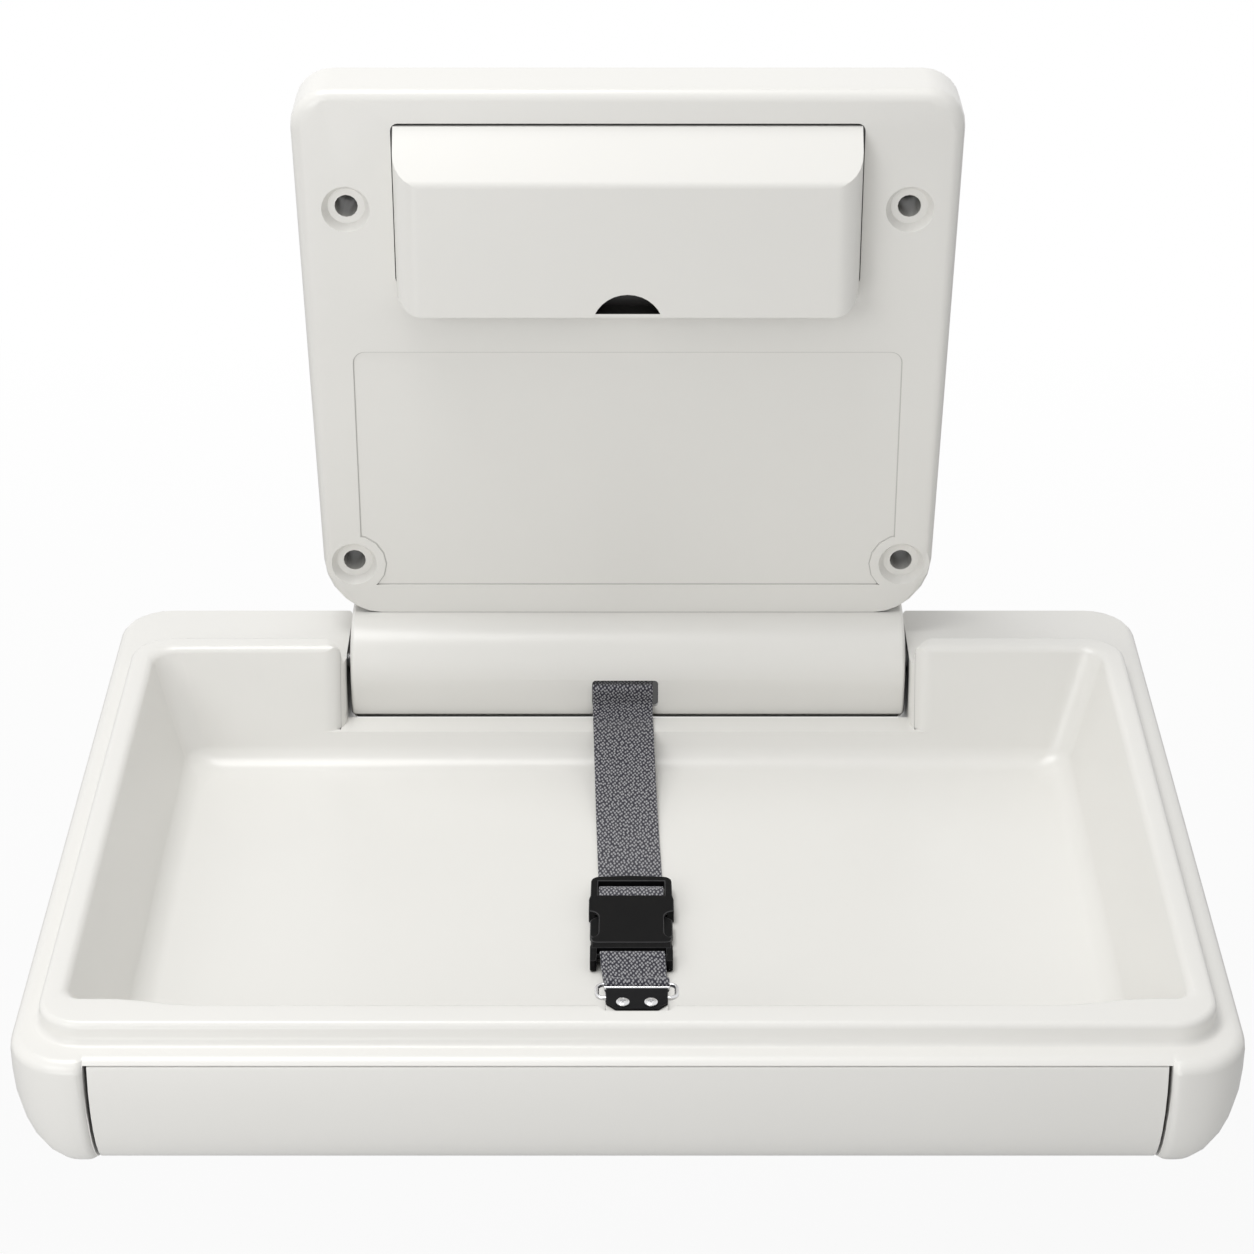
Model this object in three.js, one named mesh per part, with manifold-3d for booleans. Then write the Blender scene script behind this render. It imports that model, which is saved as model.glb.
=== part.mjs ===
import * as THREE from 'three';
import { mergeVertices } from 'three/addons/utils/BufferGeometryUtils.js';
import Module from 'manifold-3d';

// A wall-mounted fold-down changing station, in millimetres, bed down.
// Working axes: X across, Y towards the wall (wall face at Y = 0), Z up from the bed's hinge axis.
// The finished group is lowered so that its origin is the middle of the four wall fixings.

// Wall panel
const panelDepth = 55;
const panelTop = 515;
const panelWidthTop = 537;
const panelWidthBottom = 514;
const panelTopRadius = 32;
const panelBottomRadius = 48;
const panelEdgeRadius = 10;
const panelWall = 4;

// Wall fixings and their bosses
const upperFixingX = 226;
const upperFixingZ = 415.5;
const lowerFixingX = 232;
const lowerFixingZ = 94.5;
const fixingBore = 9.4;
const fixingDishRadius = 19.5;
const fixingDishFloor = 15;
const fixingDishDepth = 8;
const fixingBossRadius = 24;
const fixingScrewHole = 5.5;

// Shallow recess across the lower half of the panel
const recessWidth = 451;
const recessBottom = 74.5;
const recessTop = 291;
const recessRadius = 10;
const recessDepth = 1.2;
const recessBossRelief = 27;

// Liner dispenser
const coverWidth = 372;
const coverTop = 486;
const coverFold = 450;
const coverBottom = 337;
const coverProud = 36;
const coverSideRadius = 20;
const coverFoldRadius = 8;
const coverWall = 3;
const coverGap = 2;
const coverSeat = 3.8;
const sillHeight = 13;
const fingerWidth = 55;
const fingerHeight = 20;
const pivotRadius = 2.5;
const pivotProud = 9;
const pivotLength = 11;
const binWall = 2.5;
const binFlange = 9;
const binBackGap = 6;

// Hinge
const barrelRadius = 48;
const barrelLength = 471;
const barrelWall = 3.5;
const barrelEndRadius = 3.5;
const barrelEndGap = 3;
const barrelClearance = 11;
const barrelDrop = 25.7;
const barrelNoseRadius = 2;
const shaftRadius = 10;
const shaftLength = 67;
const shaftOut = 262;
const bushWall = 2.7;
const bushLength = 8;
const damperRadius = 28;
const damperLength = 56;
const anchorRadius = 4;
const anchorSpare = 33.2;
const anchorRib = 4;
const anchorRibReach = 10;
const anchorRibCorner = 5;
const anchorForward = 15;
const slotSpare = 5.2;
const slotCentre = -2.2;
const slotTop = 7.6;
const slotBottom = -17;

// Steel chassis behind the panel
const chassisPlate = 3;
const chassisWidth = 490;
const chassisBottom = 66;
const chassisTop = 440;
const earPlate = 4;
const earInner = 212;
const earReach = 22;
const legWidth = 38;
const legDrop = 35;
const chassisCorner = 12;
const chassisWindowInner = 60;
const chassisWindowOuter = 190;
const chassisWindowBottom = 120;
const chassisWindowTop = 300;
const chassisWindowCorner = 15;

// Bed
const bedWidth = 872;
const bedBehind = 47;
const bedDepth = 658;
const bedFrontRadius = 44;
const bulgeProud = 4;
const bedRearRadius = 40;
const bedTopRadius = 9;
const rearEdgeShare = 0.45;
const bedTurn = 46;
const bedTurnHeight = 84;
const bedUnder = -84;
const bedWall = 4;
const ledgeHeight = 26;
const lipRise = 17;
const lipFlare = 6;
const lipEdgeRadius = 5;
const lipRadius = 32;
const sideLedge = 19.5;
const rearLedge = 80;
const frontLedge = 22;
const sideLip = 18;
const rearLip = 19.5;
const frontLip = 33.5;
const basinFrontRadius = 12;
const basinRearRadius = 20;
const basinDepth = 93;
const basinDraft = 0.32;
const basinRearLean = 1.15;
const basinFillet = 14;
const bayDepth = 7.8;
const bayStart = 40;
const bayRun = 48;
const bayBlend = 150;
const ridgeHeight = -24.8;
const cheekRadius = 18;
const cheekRearRadius = 12;
const lipEndRun = 22;
const lipEndDrop = 15;

// Lower shell of the bed
const railWidth = 56.5;
const railEdgeRadius = 7;
const railWindowHalf = 150;
const railWindowEdge = 10;
const shellGap = 2.5;
const shellLift = 1;
const shellProud = 1;
const shellRoll = 14;
const shellWall = 3.5;
const shellEndRadius = 6;
const shellTopGap = 0.8;
const shellTopDraw = 2.5;
const shellRearGap = 8;
const shellScrewBoss = 8;
const shellScrewRadius = 2;
const shellScrewHead = 4.5;
const shellScrewX = 300;
const shellScrewRear = 172;
const shellScrewFront = 146;

// Steel arms in the bed and its rear buffers
const armPlate = 4;
const armFlange = 38;
const armRear = 14;
const armFront = 64;
const armDrop = 34;
const bufferRadius = 11;
const bufferX = 330;
const bufferDrop = 62;
const bufferTaper = 2;

// Strap, ring and bracket
const webWidth = 50.8;
const webSlotX = -4.2;
const webBuckleX = 2.8;
const webThickness = 1.8;
const webLift = 0.5;
const webSagEnd = 60;
const webMouthZ = 2.6;
const bracketX = 6.5;
const bracketWidth = 44;
const bracketInset = 76;
const bracketLength = 30;
const bracketPlate = 1.8;
const bracketChamfer = 7;
const hemRadius = 1.3;
const hemLength = 47.2;
const pocketDepth = 8.7;
const pocketFront = 10.2;
const pocketSpare = 11.2;
const tongueHalf = 15.5;
const tongueInset = 77.2;
const tongueHeight = 16;
const strapScrewSpacing = 20;
const strapScrewHead = 4.9;
const strapScrewHeadHeight = 2.2;
const strapScrewShank = 2;
const strapScrewLength = 11;
const strapScrewInset = 56.3;
const ringWire = 1.6;
const ringSpare = 9.6;
const ringBend = 5;
const ringReach = 16.5;
const ringInset = 68.2;
const ringDrop = 2.4;
const ringSlack = 3.4;

// Side-release buckle
const buckleX = 2.8;
const buckleInset = 325;
const buckleShoulder = 7.9;
const buckleThickness = 11;
const buckleLift = 0.7;
const socketLength = 92;
const socketWall = 2.4;
const strapWindow = 12;
const strapBar = 11;
const plugLength = 30;
const plugBlock = 8;
const plugGuide = 8;
const plugGuideLength = 34;
const plugLeg = 5;
const plugBarRadius = 2.4;
const releaseRear = 43;
const releaseLength = 36;
const releaseWidth = 9;

const clearance = 0.3;
const arcSegments = 6;
const hiddenSegments = 4;
const barrelSteps = 9;
const railEdgeSteps = 4;
const screwSides = 8;
const overcut = 40;
const leastRadius = 3;

// Places worked out from the sizes above
const panelFace = -panelDepth;
const hingeY = panelFace;
const creaseHeight = barrelRadius;
const originHeight = (upperFixingZ + lowerFixingZ) / 2;
const notchHalf = barrelLength / 2 + barrelEndGap;
const notchRadius = barrelRadius + barrelClearance;
const bedHalf = bedWidth / 2;
const bedRear = hingeY + bedBehind;
const bedFront = bedRear - bedDepth;
const lipTop = ledgeHeight + lipRise;
const floorHeight = lipTop - basinDepth;
const lipHalf = bedHalf - sideLedge;
const lipBack = bedRear - rearLedge;
const lipFront = bedFront + frontLedge;
const firstScrewRow = bedRear - shellScrewRear;
const lastScrewRow = bedFront + shellScrewFront;
const shellScrewRows = [firstScrewRow, (firstScrewRow + lastScrewRow) / 2, lastScrewRow];
const anchorLength = webWidth + anchorSpare;
const slotWidth = webWidth + slotSpare;
const armNear = bedRear - armRear;
const armFar = bedRear - armFront;
const bracketRear = bedFront + bracketInset;
const tongueRear = bedFront + tongueInset;
const pocketHalf = (webWidth + pocketSpare) / 2;
const strapScrewY = bedFront + strapScrewInset;
const ringBar = bedFront + ringInset;
const ringLength = webWidth + ringSpare;
const buckleRear = bedRear - buckleInset;
const buckleWidth = webWidth + 2 * buckleShoulder;
const basinHalf = lipHalf - sideLip;
const basinBack = lipBack - rearLip;
const basinFront = lipFront + frontLip;
const railInner = bedHalf - railWidth;
const shellHalf = railInner - shellGap;
const shellUnder = bedUnder + shellLift;
const ridgeBack = hingeY - Math.sqrt(notchRadius ** 2 - ridgeHeight ** 2);
const coverHalf = coverWidth / 2;
const coverFace = panelFace - coverProud;
const sillTop = coverBottom + sillHeight;
const pivotY = panelFace - pivotProud;
const pivotZ = coverBottom + pivotProud - clearance;
const anchorY = hingeY - anchorForward;
const anchorZ = (slotTop + slotBottom) / 2;

const wasm = await Module();
wasm.setup();

// Turns a closed three.js geometry into a solid that can be joined and cut.
function solid(geometry) {
  const bare = new THREE.BufferGeometry();
  bare.setAttribute('position', geometry.getAttribute('position'));
  if (geometry.index) bare.setIndex(geometry.index);
  const merged = mergeVertices(bare, 1e-4);
  const vertProperties = new Float32Array(merged.getAttribute('position').array);
  const triVerts = new Uint32Array(merged.index.array);
  return new wasm.Manifold(new wasm.Mesh({ numProp: 3, vertProperties, triVerts }));
}

const join = (...parts) => parts.reduce((whole, part) => whole.add(part));
const cut = (whole, ...parts) => parts.reduce((rest, part) => rest.subtract(part), whole);
const along = {
  x: (u, v, w) => [w, u, v],
  front: (u, v, w) => [u, -w, v],
  z: (u, v, w) => [u, v, w],
};

// Points of a counter-clockwise polygon whose corners [u, v, radius, steps] are rounded.
function rounded(corners, segments = arcSegments) {
  const points = [];
  corners.forEach(([u, v, radius, steps = segments], i) => {
    const corner = new THREE.Vector2(u, v);
    const before = corners[(i + corners.length - 1) % corners.length];
    const after = corners[(i + 1) % corners.length];
    const back = new THREE.Vector2(before[0] - u, before[1] - v).normalize();
    const onward = new THREE.Vector2(after[0] - u, after[1] - v).normalize();
    if (!radius) {
      points.push(corner);
      return;
    }
    const half = Math.acos(THREE.MathUtils.clamp(back.dot(onward), -1, 1)) / 2;
    const middle = back.clone().add(onward).normalize();
    const centre = corner.clone().addScaledVector(middle, radius / Math.sin(half));
    const start = corner.clone().addScaledVector(back, radius / Math.tan(half)).sub(centre);
    const turn = back.clone().negate().cross(onward);
    const sweep = Math.sign(turn) * (Math.PI - 2 * half);
    for (let k = 0; k <= steps; k += 1) {
      const arm = start.clone().rotateAround(new THREE.Vector2(), (sweep * k) / steps);
      points.push(centre.clone().add(arm));
    }
  });
  return points;
}

const rectangle = (left, right, low, high, radius = 0) => [
  [left, low, radius],
  [right, low, radius],
  [right, high, radius],
  [left, high, radius],
];

// A straight prism of an outline along X, towards the front or along Z.
function prism(points, axis, from, to) {
  const corners = points.map((p) => (Array.isArray(p) ? new THREE.Vector2(p[0], p[1]) : p));
  const shape = new THREE.Shape(corners);
  const geometry = new THREE.ExtrudeGeometry(shape, { depth: to - from, bevelEnabled: false });
  const position = geometry.getAttribute('position');
  for (let i = 0; i < position.count; i += 1) {
    const [x, y, z] = along[axis](position.getX(i), position.getY(i), position.getZ(i) + from);
    position.setXYZ(i, x, y, z);
  }
  return solid(geometry);
}

const block = (x0, x1, y0, y1, z0, z1) => prism(rectangle(x0, x1, y0, y1), 'z', z0, z1);

// A cylinder, or a cone with two radii, between two places along an axis.
const sidesFor = (radius) => (radius < 4 ? 10 : radius < 30 ? 16 : 24);

function rod(axis, radius, u, v, from, to, endRadius = radius, sides = sidesFor(radius)) {
  const ring = (r, w) => ({ points: circle(u, v, r, sides), w });
  return loft([ring(radius, from), ring(endRadius, to)], axis);
}

function circle(u, v, radius, sides) {
  const points = [];
  for (let k = 0; k < sides; k += 1) {
    const angle = (2 * Math.PI * k) / sides;
    points.push(new THREE.Vector2(u + radius * Math.cos(angle), v + radius * Math.sin(angle)));
  }
  return points;
}

// A solid skinned over outlines of equal point count, each at its own place w along the axis.
function loft(sections, axis) {
  const count = sections[0].points.length;
  const positions = [];
  const index = [];
  sections.forEach(({ points, w }) => points.forEach((p) => positions.push(...along[axis](p.x, p.y, w))));
  for (let s = 0; s + 1 < sections.length; s += 1) {
    for (let k = 0; k < count; k += 1) {
      const a = s * count + k;
      const b = s * count + ((k + 1) % count);
      index.push(a, b, b + count, a, b + count, a + count);
    }
  }
  const last = (sections.length - 1) * count;
  THREE.ShapeUtils.triangulateShape(sections[0].points, []).forEach(([a, b, c]) => index.push(c, b, a));
  THREE.ShapeUtils.triangulateShape(sections.at(-1).points, []).forEach(([a, b, c]) => {
    index.push(last + a, last + b, last + c);
  });
  const geometry = new THREE.BufferGeometry();
  geometry.setAttribute('position', new THREE.Float32BufferAttribute(positions, 3));
  geometry.setIndex(index);
  return solid(geometry);
}

// Steps of a quarter round: how far the outline draws in, and how far it rises, from 0 to the radius.
function quarter(radius, steps = 4) {
  return Array.from({ length: steps + 1 }, (_, k) => {
    const angle = (Math.PI / 2) * (k / steps);
    return { inset: radius * (1 - Math.cos(angle)), rise: radius * Math.sin(angle) };
  });
}

const mirrorX = (part) => part.mirror([1, 0, 0]);
const both = (part) => part.add(mirrorX(part));

const plastic = (color, roughness) => new THREE.MeshStandardMaterial({ color, roughness, metalness: 0 });
const metal = (color, roughness) => new THREE.MeshStandardMaterial({ color, roughness, metalness: 1 });
const whitePlastic = plastic(0xe6e4df, 0.35);
const blackPlastic = plastic(0x1b1b1c, 0.45);
const greyWebbing = plastic(0x5a5a5e, 0.9);
const blackRubber = plastic(0x222222, 0.85);
const blackSteel = plastic(0x151515, 0.4);
const brightSteel = metal(0xcfd0d2, 0.25);
const zincSteel = metal(0xa9adb2, 0.4);
const bronze = metal(0x9a7f55, 0.4);

const station = new THREE.Group();
station.name = 'changing_station';
station.position.z = -originHeight;

function add(name, part, material) {
  const { vertProperties, triVerts } = part.getMesh();
  const geometry = new THREE.BufferGeometry();
  geometry.setAttribute('position', new THREE.Float32BufferAttribute(vertProperties, 3));
  geometry.setIndex(Array.from(triVerts));
  geometry.computeVertexNormals();
  const mesh = new THREE.Mesh(geometry, material);
  mesh.name = name;
  station.add(mesh);
}

function addPair(name, rightPart, material) {
  add(`${name}_left`, mirrorX(rightPart), material);
  add(`${name}_right`, rightPart, material);
}

// Wall panel: a shell open towards the wall, slightly wider at its top
function panelOutline(inset, lowInset, segments) {
  const top = panelTop - inset;
  const low = creaseHeight + clearance + lowInset;
  const topRadius = Math.max(panelTopRadius - inset, leastRadius);
  const lowRadius = Math.max(panelBottomRadius - inset, leastRadius);
  const halfTop = panelWidthTop / 2 - inset;
  const halfLow = panelWidthBottom / 2 - inset;
  return rounded([
    [-halfLow, low, lowRadius],
    [halfLow, low, lowRadius],
    [halfTop, top, topRadius],
    [-halfTop, top, topRadius],
  ], segments);
}

function panelBlock(inset, back, front, edge) {
  const segments = inset ? hiddenSegments : arcSegments;
  const steps = quarter(edge, segments / 2).map(({ inset: draw, rise }) => {
    return { points: panelOutline(inset + draw, inset, segments), w: front - edge + rise };
  });
  return loft([{ points: panelOutline(inset, inset, segments), w: back }, ...steps], 'front');
}

const fixings = [
  [upperFixingX, upperFixingZ],
  [lowerFixingX, lowerFixingZ],
];

function wallPanel() {
  const neck = barrelLength / 2 - barrelWall;
  const inside = panelBlock(panelWall, -overcut, panelDepth - panelWall, panelEdgeRadius - panelWall);
  const bosses = fixings.map(([x, z]) => {
    return both(rod('front', fixingBossRadius, x, z, chassisPlate + clearance, panelDepth - 1));
  });
  const rims = fixings.map(([x, z]) => {
    return both(rod('front', fixingBossRadius, x, z, -overcut, chassisPlate + clearance));
  });
  const dishes = fixings.map(([x, z]) => {
    const floor = panelDepth - fixingDishDepth;
    const dish = rod('front', fixingDishFloor, x, z, floor, panelDepth + 0.01, fixingDishRadius, 24);
    return both(join(dish, rod('front', fixingBore, x, z, -overcut, panelDepth)));
  });
  const openingHalf = coverHalf + coverGap;
  const opening = rounded(rectangle(-openingHalf, openingHalf, sillTop, coverTop + coverGap, 6), 4);
  const recess = prism(
    rounded(rectangle(-recessWidth / 2, recessWidth / 2, recessBottom, recessTop, recessRadius)),
    'front',
    panelDepth - recessDepth,
    panelDepth + 1,
  );
  const recessKeep = both(rod('front', recessBossRelief, lowerFixingX, lowerFixingZ, 0, panelDepth + 2));
  const underside = block(-neck, neck, panelFace + panelWall, overcut, 0, creaseHeight + panelWall * 2);
  return cut(
    join(cut(panelBlock(0, 0, panelDepth, panelEdgeRadius), inside), ...bosses),
    ...rims,
    ...dishes,
    cut(recess, recessKeep),
    prism(opening, 'front', panelDepth - panelWall - 1, panelDepth + 1),
    underside,
  );
}

add('wall_panel', wallPanel(), whitePlastic);

// Steel chassis: a plate on the wall with two ears that carry the hinge bushes
function chassis() {
  const half = chassisWidth / 2;
  const outline = rectangle(-half, half, chassisBottom, chassisTop, chassisCorner);
  const plate = prism(rounded(outline, 4), 'front', 0, chassisPlate);
  const earOuter = earInner + earPlate;
  const legs = both(block(earOuter - legWidth, earOuter, -chassisPlate, 0, -legDrop, chassisBottom + 1));
  const earOutline = rounded([
    [-chassisPlate + 0.5, chassisBottom, 0],
    [hingeY, earReach, earReach - 0.5],
    [hingeY - earReach, earReach, earReach - 0.5],
    [hingeY - earReach, -earReach, earReach - 0.5],
    [hingeY, -earReach, 0],
    [-chassisPlate + 0.5, -legDrop, 0],
  ], 4);
  const ears = both(prism(earOutline, 'x', earInner, earInner + earPlate));
  const bushBore = shaftRadius + clearance + bushWall + clearance;
  const bores = both(rod('x', bushBore, hingeY, 0, earInner - 1, earInner + earPlate + 1));
  const screwHoles = fixings.map(([x, z]) => {
    return both(rod('front', fixingScrewHole, x, z, -1, chassisPlate + 1));
  });
  const windowOutline = rectangle(
    chassisWindowInner, chassisWindowOuter, chassisWindowBottom, chassisWindowTop, chassisWindowCorner,
  );
  const windows = both(prism(rounded(windowOutline, 4), 'front', -1, chassisPlate + 1));
  return cut(join(plate, legs, ears), bores, ...screwHoles, windows);
}

add('mounting_chassis', chassis(), zincSteel);

// Hinge cover: a hollow barrel, open towards the wall, with the strap slot in its front.
// Its front drops straight from the barrel's widest line to a nose just above the bed's ridge.
function barrelOutline(inset, backY) {
  const radius = barrelRadius - inset;
  const drop = barrelDrop - inset;
  const noseRadius = Math.max(barrelNoseRadius - inset, clearance);
  const onBarrel = (angle) => {
    return new THREE.Vector2(hingeY + radius * Math.cos(angle), radius * Math.sin(angle));
  };
  const upper = Array.from({ length: barrelSteps + 1 }, (_, k) => {
    return onBarrel((Math.PI / 2) * (1 + k / barrelSteps));
  });
  const nose = quarter(noseRadius, 3).map(({ inset: back, rise }) => {
    return new THREE.Vector2(hingeY - radius + back, -drop + noseRadius - rise);
  });
  const underAngle = Math.PI + Math.asin(drop / radius);
  const lower = Array.from({ length: hiddenSegments + 1 }, (_, k) => {
    return onBarrel(underAngle + ((1.5 * Math.PI - underAngle) * k) / hiddenSegments);
  });
  const back = [new THREE.Vector2(backY, -radius), new THREE.Vector2(backY, radius)];
  return [...upper, ...nose, ...lower, ...back];
}

function hingeCover() {
  const half = barrelLength / 2;
  const back = -chassisPlate - 1;
  const end = (sign) => quarter(barrelEndRadius, 3).map(({ inset, rise }) => {
    return { points: barrelOutline(inset, back), w: sign * (half - barrelEndRadius + rise) };
  });
  const outside = loft([...end(-1).reverse(), ...end(1)], 'x');
  const insideHalf = half - barrelWall;
  const inside = prism(barrelOutline(barrelWall, overcut), 'x', -insideHalf, insideHalf);
  const top = block(-insideHalf, insideHalf, hingeY + panelWall + 8, overcut, 0, barrelRadius + 1);
  const shaftHoles = rod('x', shaftRadius + 2, hingeY, 0, -half - 1, half + 1);
  const slot = prism(
    rounded(rectangle(slotCentre - slotWidth / 2, slotCentre + slotWidth / 2, slotBottom, slotTop, 3), 3),
    'front',
    -hingeY + barrelRadius / 2,
    -hingeY + barrelRadius + 1,
  );
  const ribEnd = slotCentre + anchorLength / 2 - anchorRib;
  const ribOutline = rounded(rectangle(
    hingeY - barrelRadius + 1, anchorY + anchorRibReach,
    anchorZ - anchorRibReach, anchorZ + anchorRibReach, anchorRibCorner,
  ), 4);
  const rightRib = prism(ribOutline, 'x', ribEnd - anchorRib, ribEnd);
  const leftRib = rightRib.translate([anchorRib * 3 - anchorLength, 0, 0]);
  const ribs = join(rightRib, leftRib).intersect(outside);
  const anchorHoles = rod('x', anchorRadius + clearance, anchorY, anchorZ, -half / 2, half / 2);
  return cut(join(cut(outside, inside), ribs), top, shaftHoles, slot, anchorHoles);
}

add('hinge_cover', hingeCover(), whitePlastic);

// Shafts turn with the bed in bronze bushes; a rotary damper on each slows the fall
const shaftStart = shaftOut - shaftLength;
addPair('hinge_shaft', rod('x', shaftRadius, hingeY, 0, shaftStart, shaftOut), brightSteel);

function bush() {
  const bore = shaftRadius + clearance;
  const start = earInner - (bushLength - earPlate) / 2;
  const sleeve = rod('x', bore + bushWall, hingeY, 0, start, start + bushLength);
  const seat = earInner + earPlate + clearance;
  const flange = rod('x', bore + bushWall * 2, hingeY, 0, seat, start + bushLength);
  return cut(join(sleeve, flange), rod('x', bore, hingeY, 0, start - 1, start + bushLength + 1));
}

addPair('hinge_bush', bush(), bronze);

function damper() {
  const end = earInner - (bushLength - earPlate) / 2 - clearance;
  const body = rod('x', damperRadius, hingeY, 0, end - damperLength, earInner - clearance);
  const neck = rod('x', damperRadius - 8, hingeY, 0, end - damperLength - 6, end - damperLength + 1);
  const socket = rod('x', shaftRadius + clearance, hingeY, 0, shaftStart - 1, end + 1);
  const bushRoom = rod('x', shaftRadius + clearance * 3 + bushWall, hingeY, 0, end - 1, earInner + 1);
  return cut(join(body, neck), socket, bushRoom);
}

addPair('hinge_damper', damper(), blackPlastic);

const anchorStart = slotCentre - anchorLength / 2;
const anchorBar = rod('x', anchorRadius, anchorY, anchorZ, anchorStart, anchorStart + anchorLength);
add('strap_anchor_bar', anchorBar, brightSteel);

// A flat strap: its centre line in Y and Z given a thickness, spread across X and drifting from one
// centre to another along its length.
function strapBand(line, thickness, fromX, toX, width) {
  const path = line.map(([y, z]) => new THREE.Vector2(y, z));
  const side = (sign) => path.map((point, i) => {
    const before = path[Math.max(i - 1, 0)];
    const after = path[Math.min(i + 1, path.length - 1)];
    const direction = after.clone().sub(before).normalize();
    const normal = new THREE.Vector2(-direction.y, direction.x);
    return point.clone().addScaledVector(normal, (sign * thickness) / 2);
  });
  const outline = [...side(1), ...side(-1).reverse()];
  const shape = new THREE.Shape(THREE.ShapeUtils.isClockWise(outline) ? outline.reverse() : outline);
  const geometry = new THREE.ExtrudeGeometry(shape, { depth: width, bevelEnabled: false });
  const position = geometry.getAttribute('position');
  const start = path[0].x;
  const run = path.at(-1).x - start;
  for (let i = 0; i < position.count; i += 1) {
    const y = position.getX(i);
    const share = THREE.MathUtils.clamp((y - start) / run, 0, 1);
    const centre = fromX + (toX - fromX) * share;
    position.setXYZ(i, centre - width / 2 + position.getZ(i), y, position.getY(i));
  }
  return solid(geometry);
}

// The stretch of webbing sewn round the bar, ending just inside the slot
function anchorWebbing() {
  const eye = anchorRadius + clearance;
  const line = [
    [anchorY - eye, anchorZ + 0.5],
    [anchorY - 14, anchorZ + 1.5],
    [anchorY - 24, webMouthZ - 1.5],
    [anchorY - 31, webMouthZ],
  ];
  const band = strapBand(line, webThickness * 2, webSlotX, webSlotX, webWidth);
  const from = webSlotX - webWidth / 2;
  const to = webSlotX + webWidth / 2;
  const loop = rod('x', eye + webThickness, anchorY, anchorZ, from, to);
  return cut(join(band, loop), rod('x', eye, anchorY, anchorZ, from - 1, to + 1));
}

add('anchor_webbing', anchorWebbing(), greyWebbing);

// Liner bin behind the panel, with ears that carry the cover
function linerBin() {
  const half = coverHalf - coverWall - 1;
  const low = sillTop + 1;
  const high = coverTop - coverWall - 1;
  const front = panelDepth - panelWall - clearance;
  const shell = prism(rectangle(-half, half, low, high), 'front', binBackGap, front + 2);
  const flange = prism(
    rounded(rectangle(-half - binFlange, half + binFlange, low - binFlange, high + binFlange, 8), 4),
    'front',
    front - binWall,
    front,
  );
  const room = prism(
    rectangle(-half + binWall, half - binWall, low + binWall, high - binWall),
    'front',
    binBackGap + binWall,
    front + overcut,
  );
  const earOutline = rounded([
    [-front, low, 0],
    [-front, low + 16, 0],
    [pivotY - 2, low + 16, 4],
    [pivotY - 6, low + 6, 3],
    [pivotY - 6, pivotZ - 6, 5],
    [pivotY + 6, pivotZ - 6, 5],
    [panelFace - 1, low, 0],
  ].reverse(), 4);
  const ears = both(prism(earOutline, 'x', half - binWall * 1.6, half));
  const pivotHoles = rod('x', pivotRadius + clearance, pivotY, pivotZ, -coverHalf, coverHalf);
  return cut(join(cut(join(shell, flange), room), ears), pivotHoles);
}

add('liner_bin', linerBin(), whitePlastic);

// Dispenser cover: sloped top, rounded sides, open below, with a finger notch
function coverBody(inset) {
  const half = coverHalf - inset;
  const low = inset ? coverBottom - overcut : coverBottom;
  const rear = panelFace + coverSeat + (inset ? overcut : 0);
  const slope = (coverTop - coverFold) / coverProud;
  const face = coverFace + inset;
  const drop = inset * Math.hypot(1, slope);
  const top = coverTop - inset;
  const topFront = coverFace + (top + drop - coverFold) / slope;
  const profile = rounded([
    [face, low, 0],
    [rear, low, 0],
    [rear, top, 0],
    [topFront, top, coverFoldRadius / 2, 3],
    [face, coverFold + inset * slope - drop, coverFoldRadius - inset, 4],
  ]);
  const plan = rounded([
    [-half, face, coverSideRadius - inset],
    [half, face, coverSideRadius - inset],
    [half, rear + 1, 0],
    [-half, rear + 1, 0],
  ]);
  const lowRadius = inset ? 0 : coverSideRadius;
  const front = rounded([
    [-half, low, lowRadius],
    [half, low, lowRadius],
    [half, coverTop + overcut, 0],
    [-half, coverTop + overcut, 0],
  ]);
  return prism(profile, 'x', -coverHalf, coverHalf)
    .intersect(prism(plan, 'z', low - 1, coverTop + overcut))
    .intersect(prism(front, 'front', -overcut, -coverFace + 1));
}

function dispenserCover() {
  const fingerRadius = ((fingerWidth / 2) ** 2 + fingerHeight ** 2) / (2 * fingerHeight);
  const fingerZ = coverBottom + fingerHeight - fingerRadius;
  const fingerDeep = -coverFace - coverSideRadius;
  const finger = rod('front', fingerRadius, 0, fingerZ, fingerDeep, -coverFace + 1, fingerRadius, 32);
  const sill = block(-coverHalf - 1, coverHalf + 1, panelFace - clearance * 2, overcut, 0, sillTop + 1.5);
  const heel = cut(
    block(-coverHalf - 1, coverHalf + 1, pivotY, overcut, 0, pivotZ),
    rod('x', pivotProud - clearance, pivotY, pivotZ, -coverHalf - 2, coverHalf + 2),
  );
  const pivots = rod('x', pivotRadius + clearance, pivotY, pivotZ, -coverHalf - 1, coverHalf + 1);
  return cut(coverBody(0), coverBody(coverWall), finger, sill, heel, pivots);
}

add('dispenser_cover', dispenserCover(), whitePlastic);
const pivotEnd = coverHalf - clearance;
const coverPivot = rod('x', pivotRadius, pivotY, pivotZ, pivotEnd - pivotLength, pivotEnd);
addPair('cover_pivot', coverPivot, brightSteel);

// The round upright edge of a rail, from its front face inwards, as far as an angle.
function railEdge(face, turn) {
  return Array.from({ length: railEdgeSteps + 1 }, (_, k) => {
    const angle = (turn * k) / railEdgeSteps;
    const x = railInner + railEdgeRadius * (1 - Math.sin(angle));
    return [x, face + railEdgeRadius * (1 - Math.cos(angle))];
  });
}

const bulgeTurn = Math.acos(1 - bulgeProud / railEdgeRadius);

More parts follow.
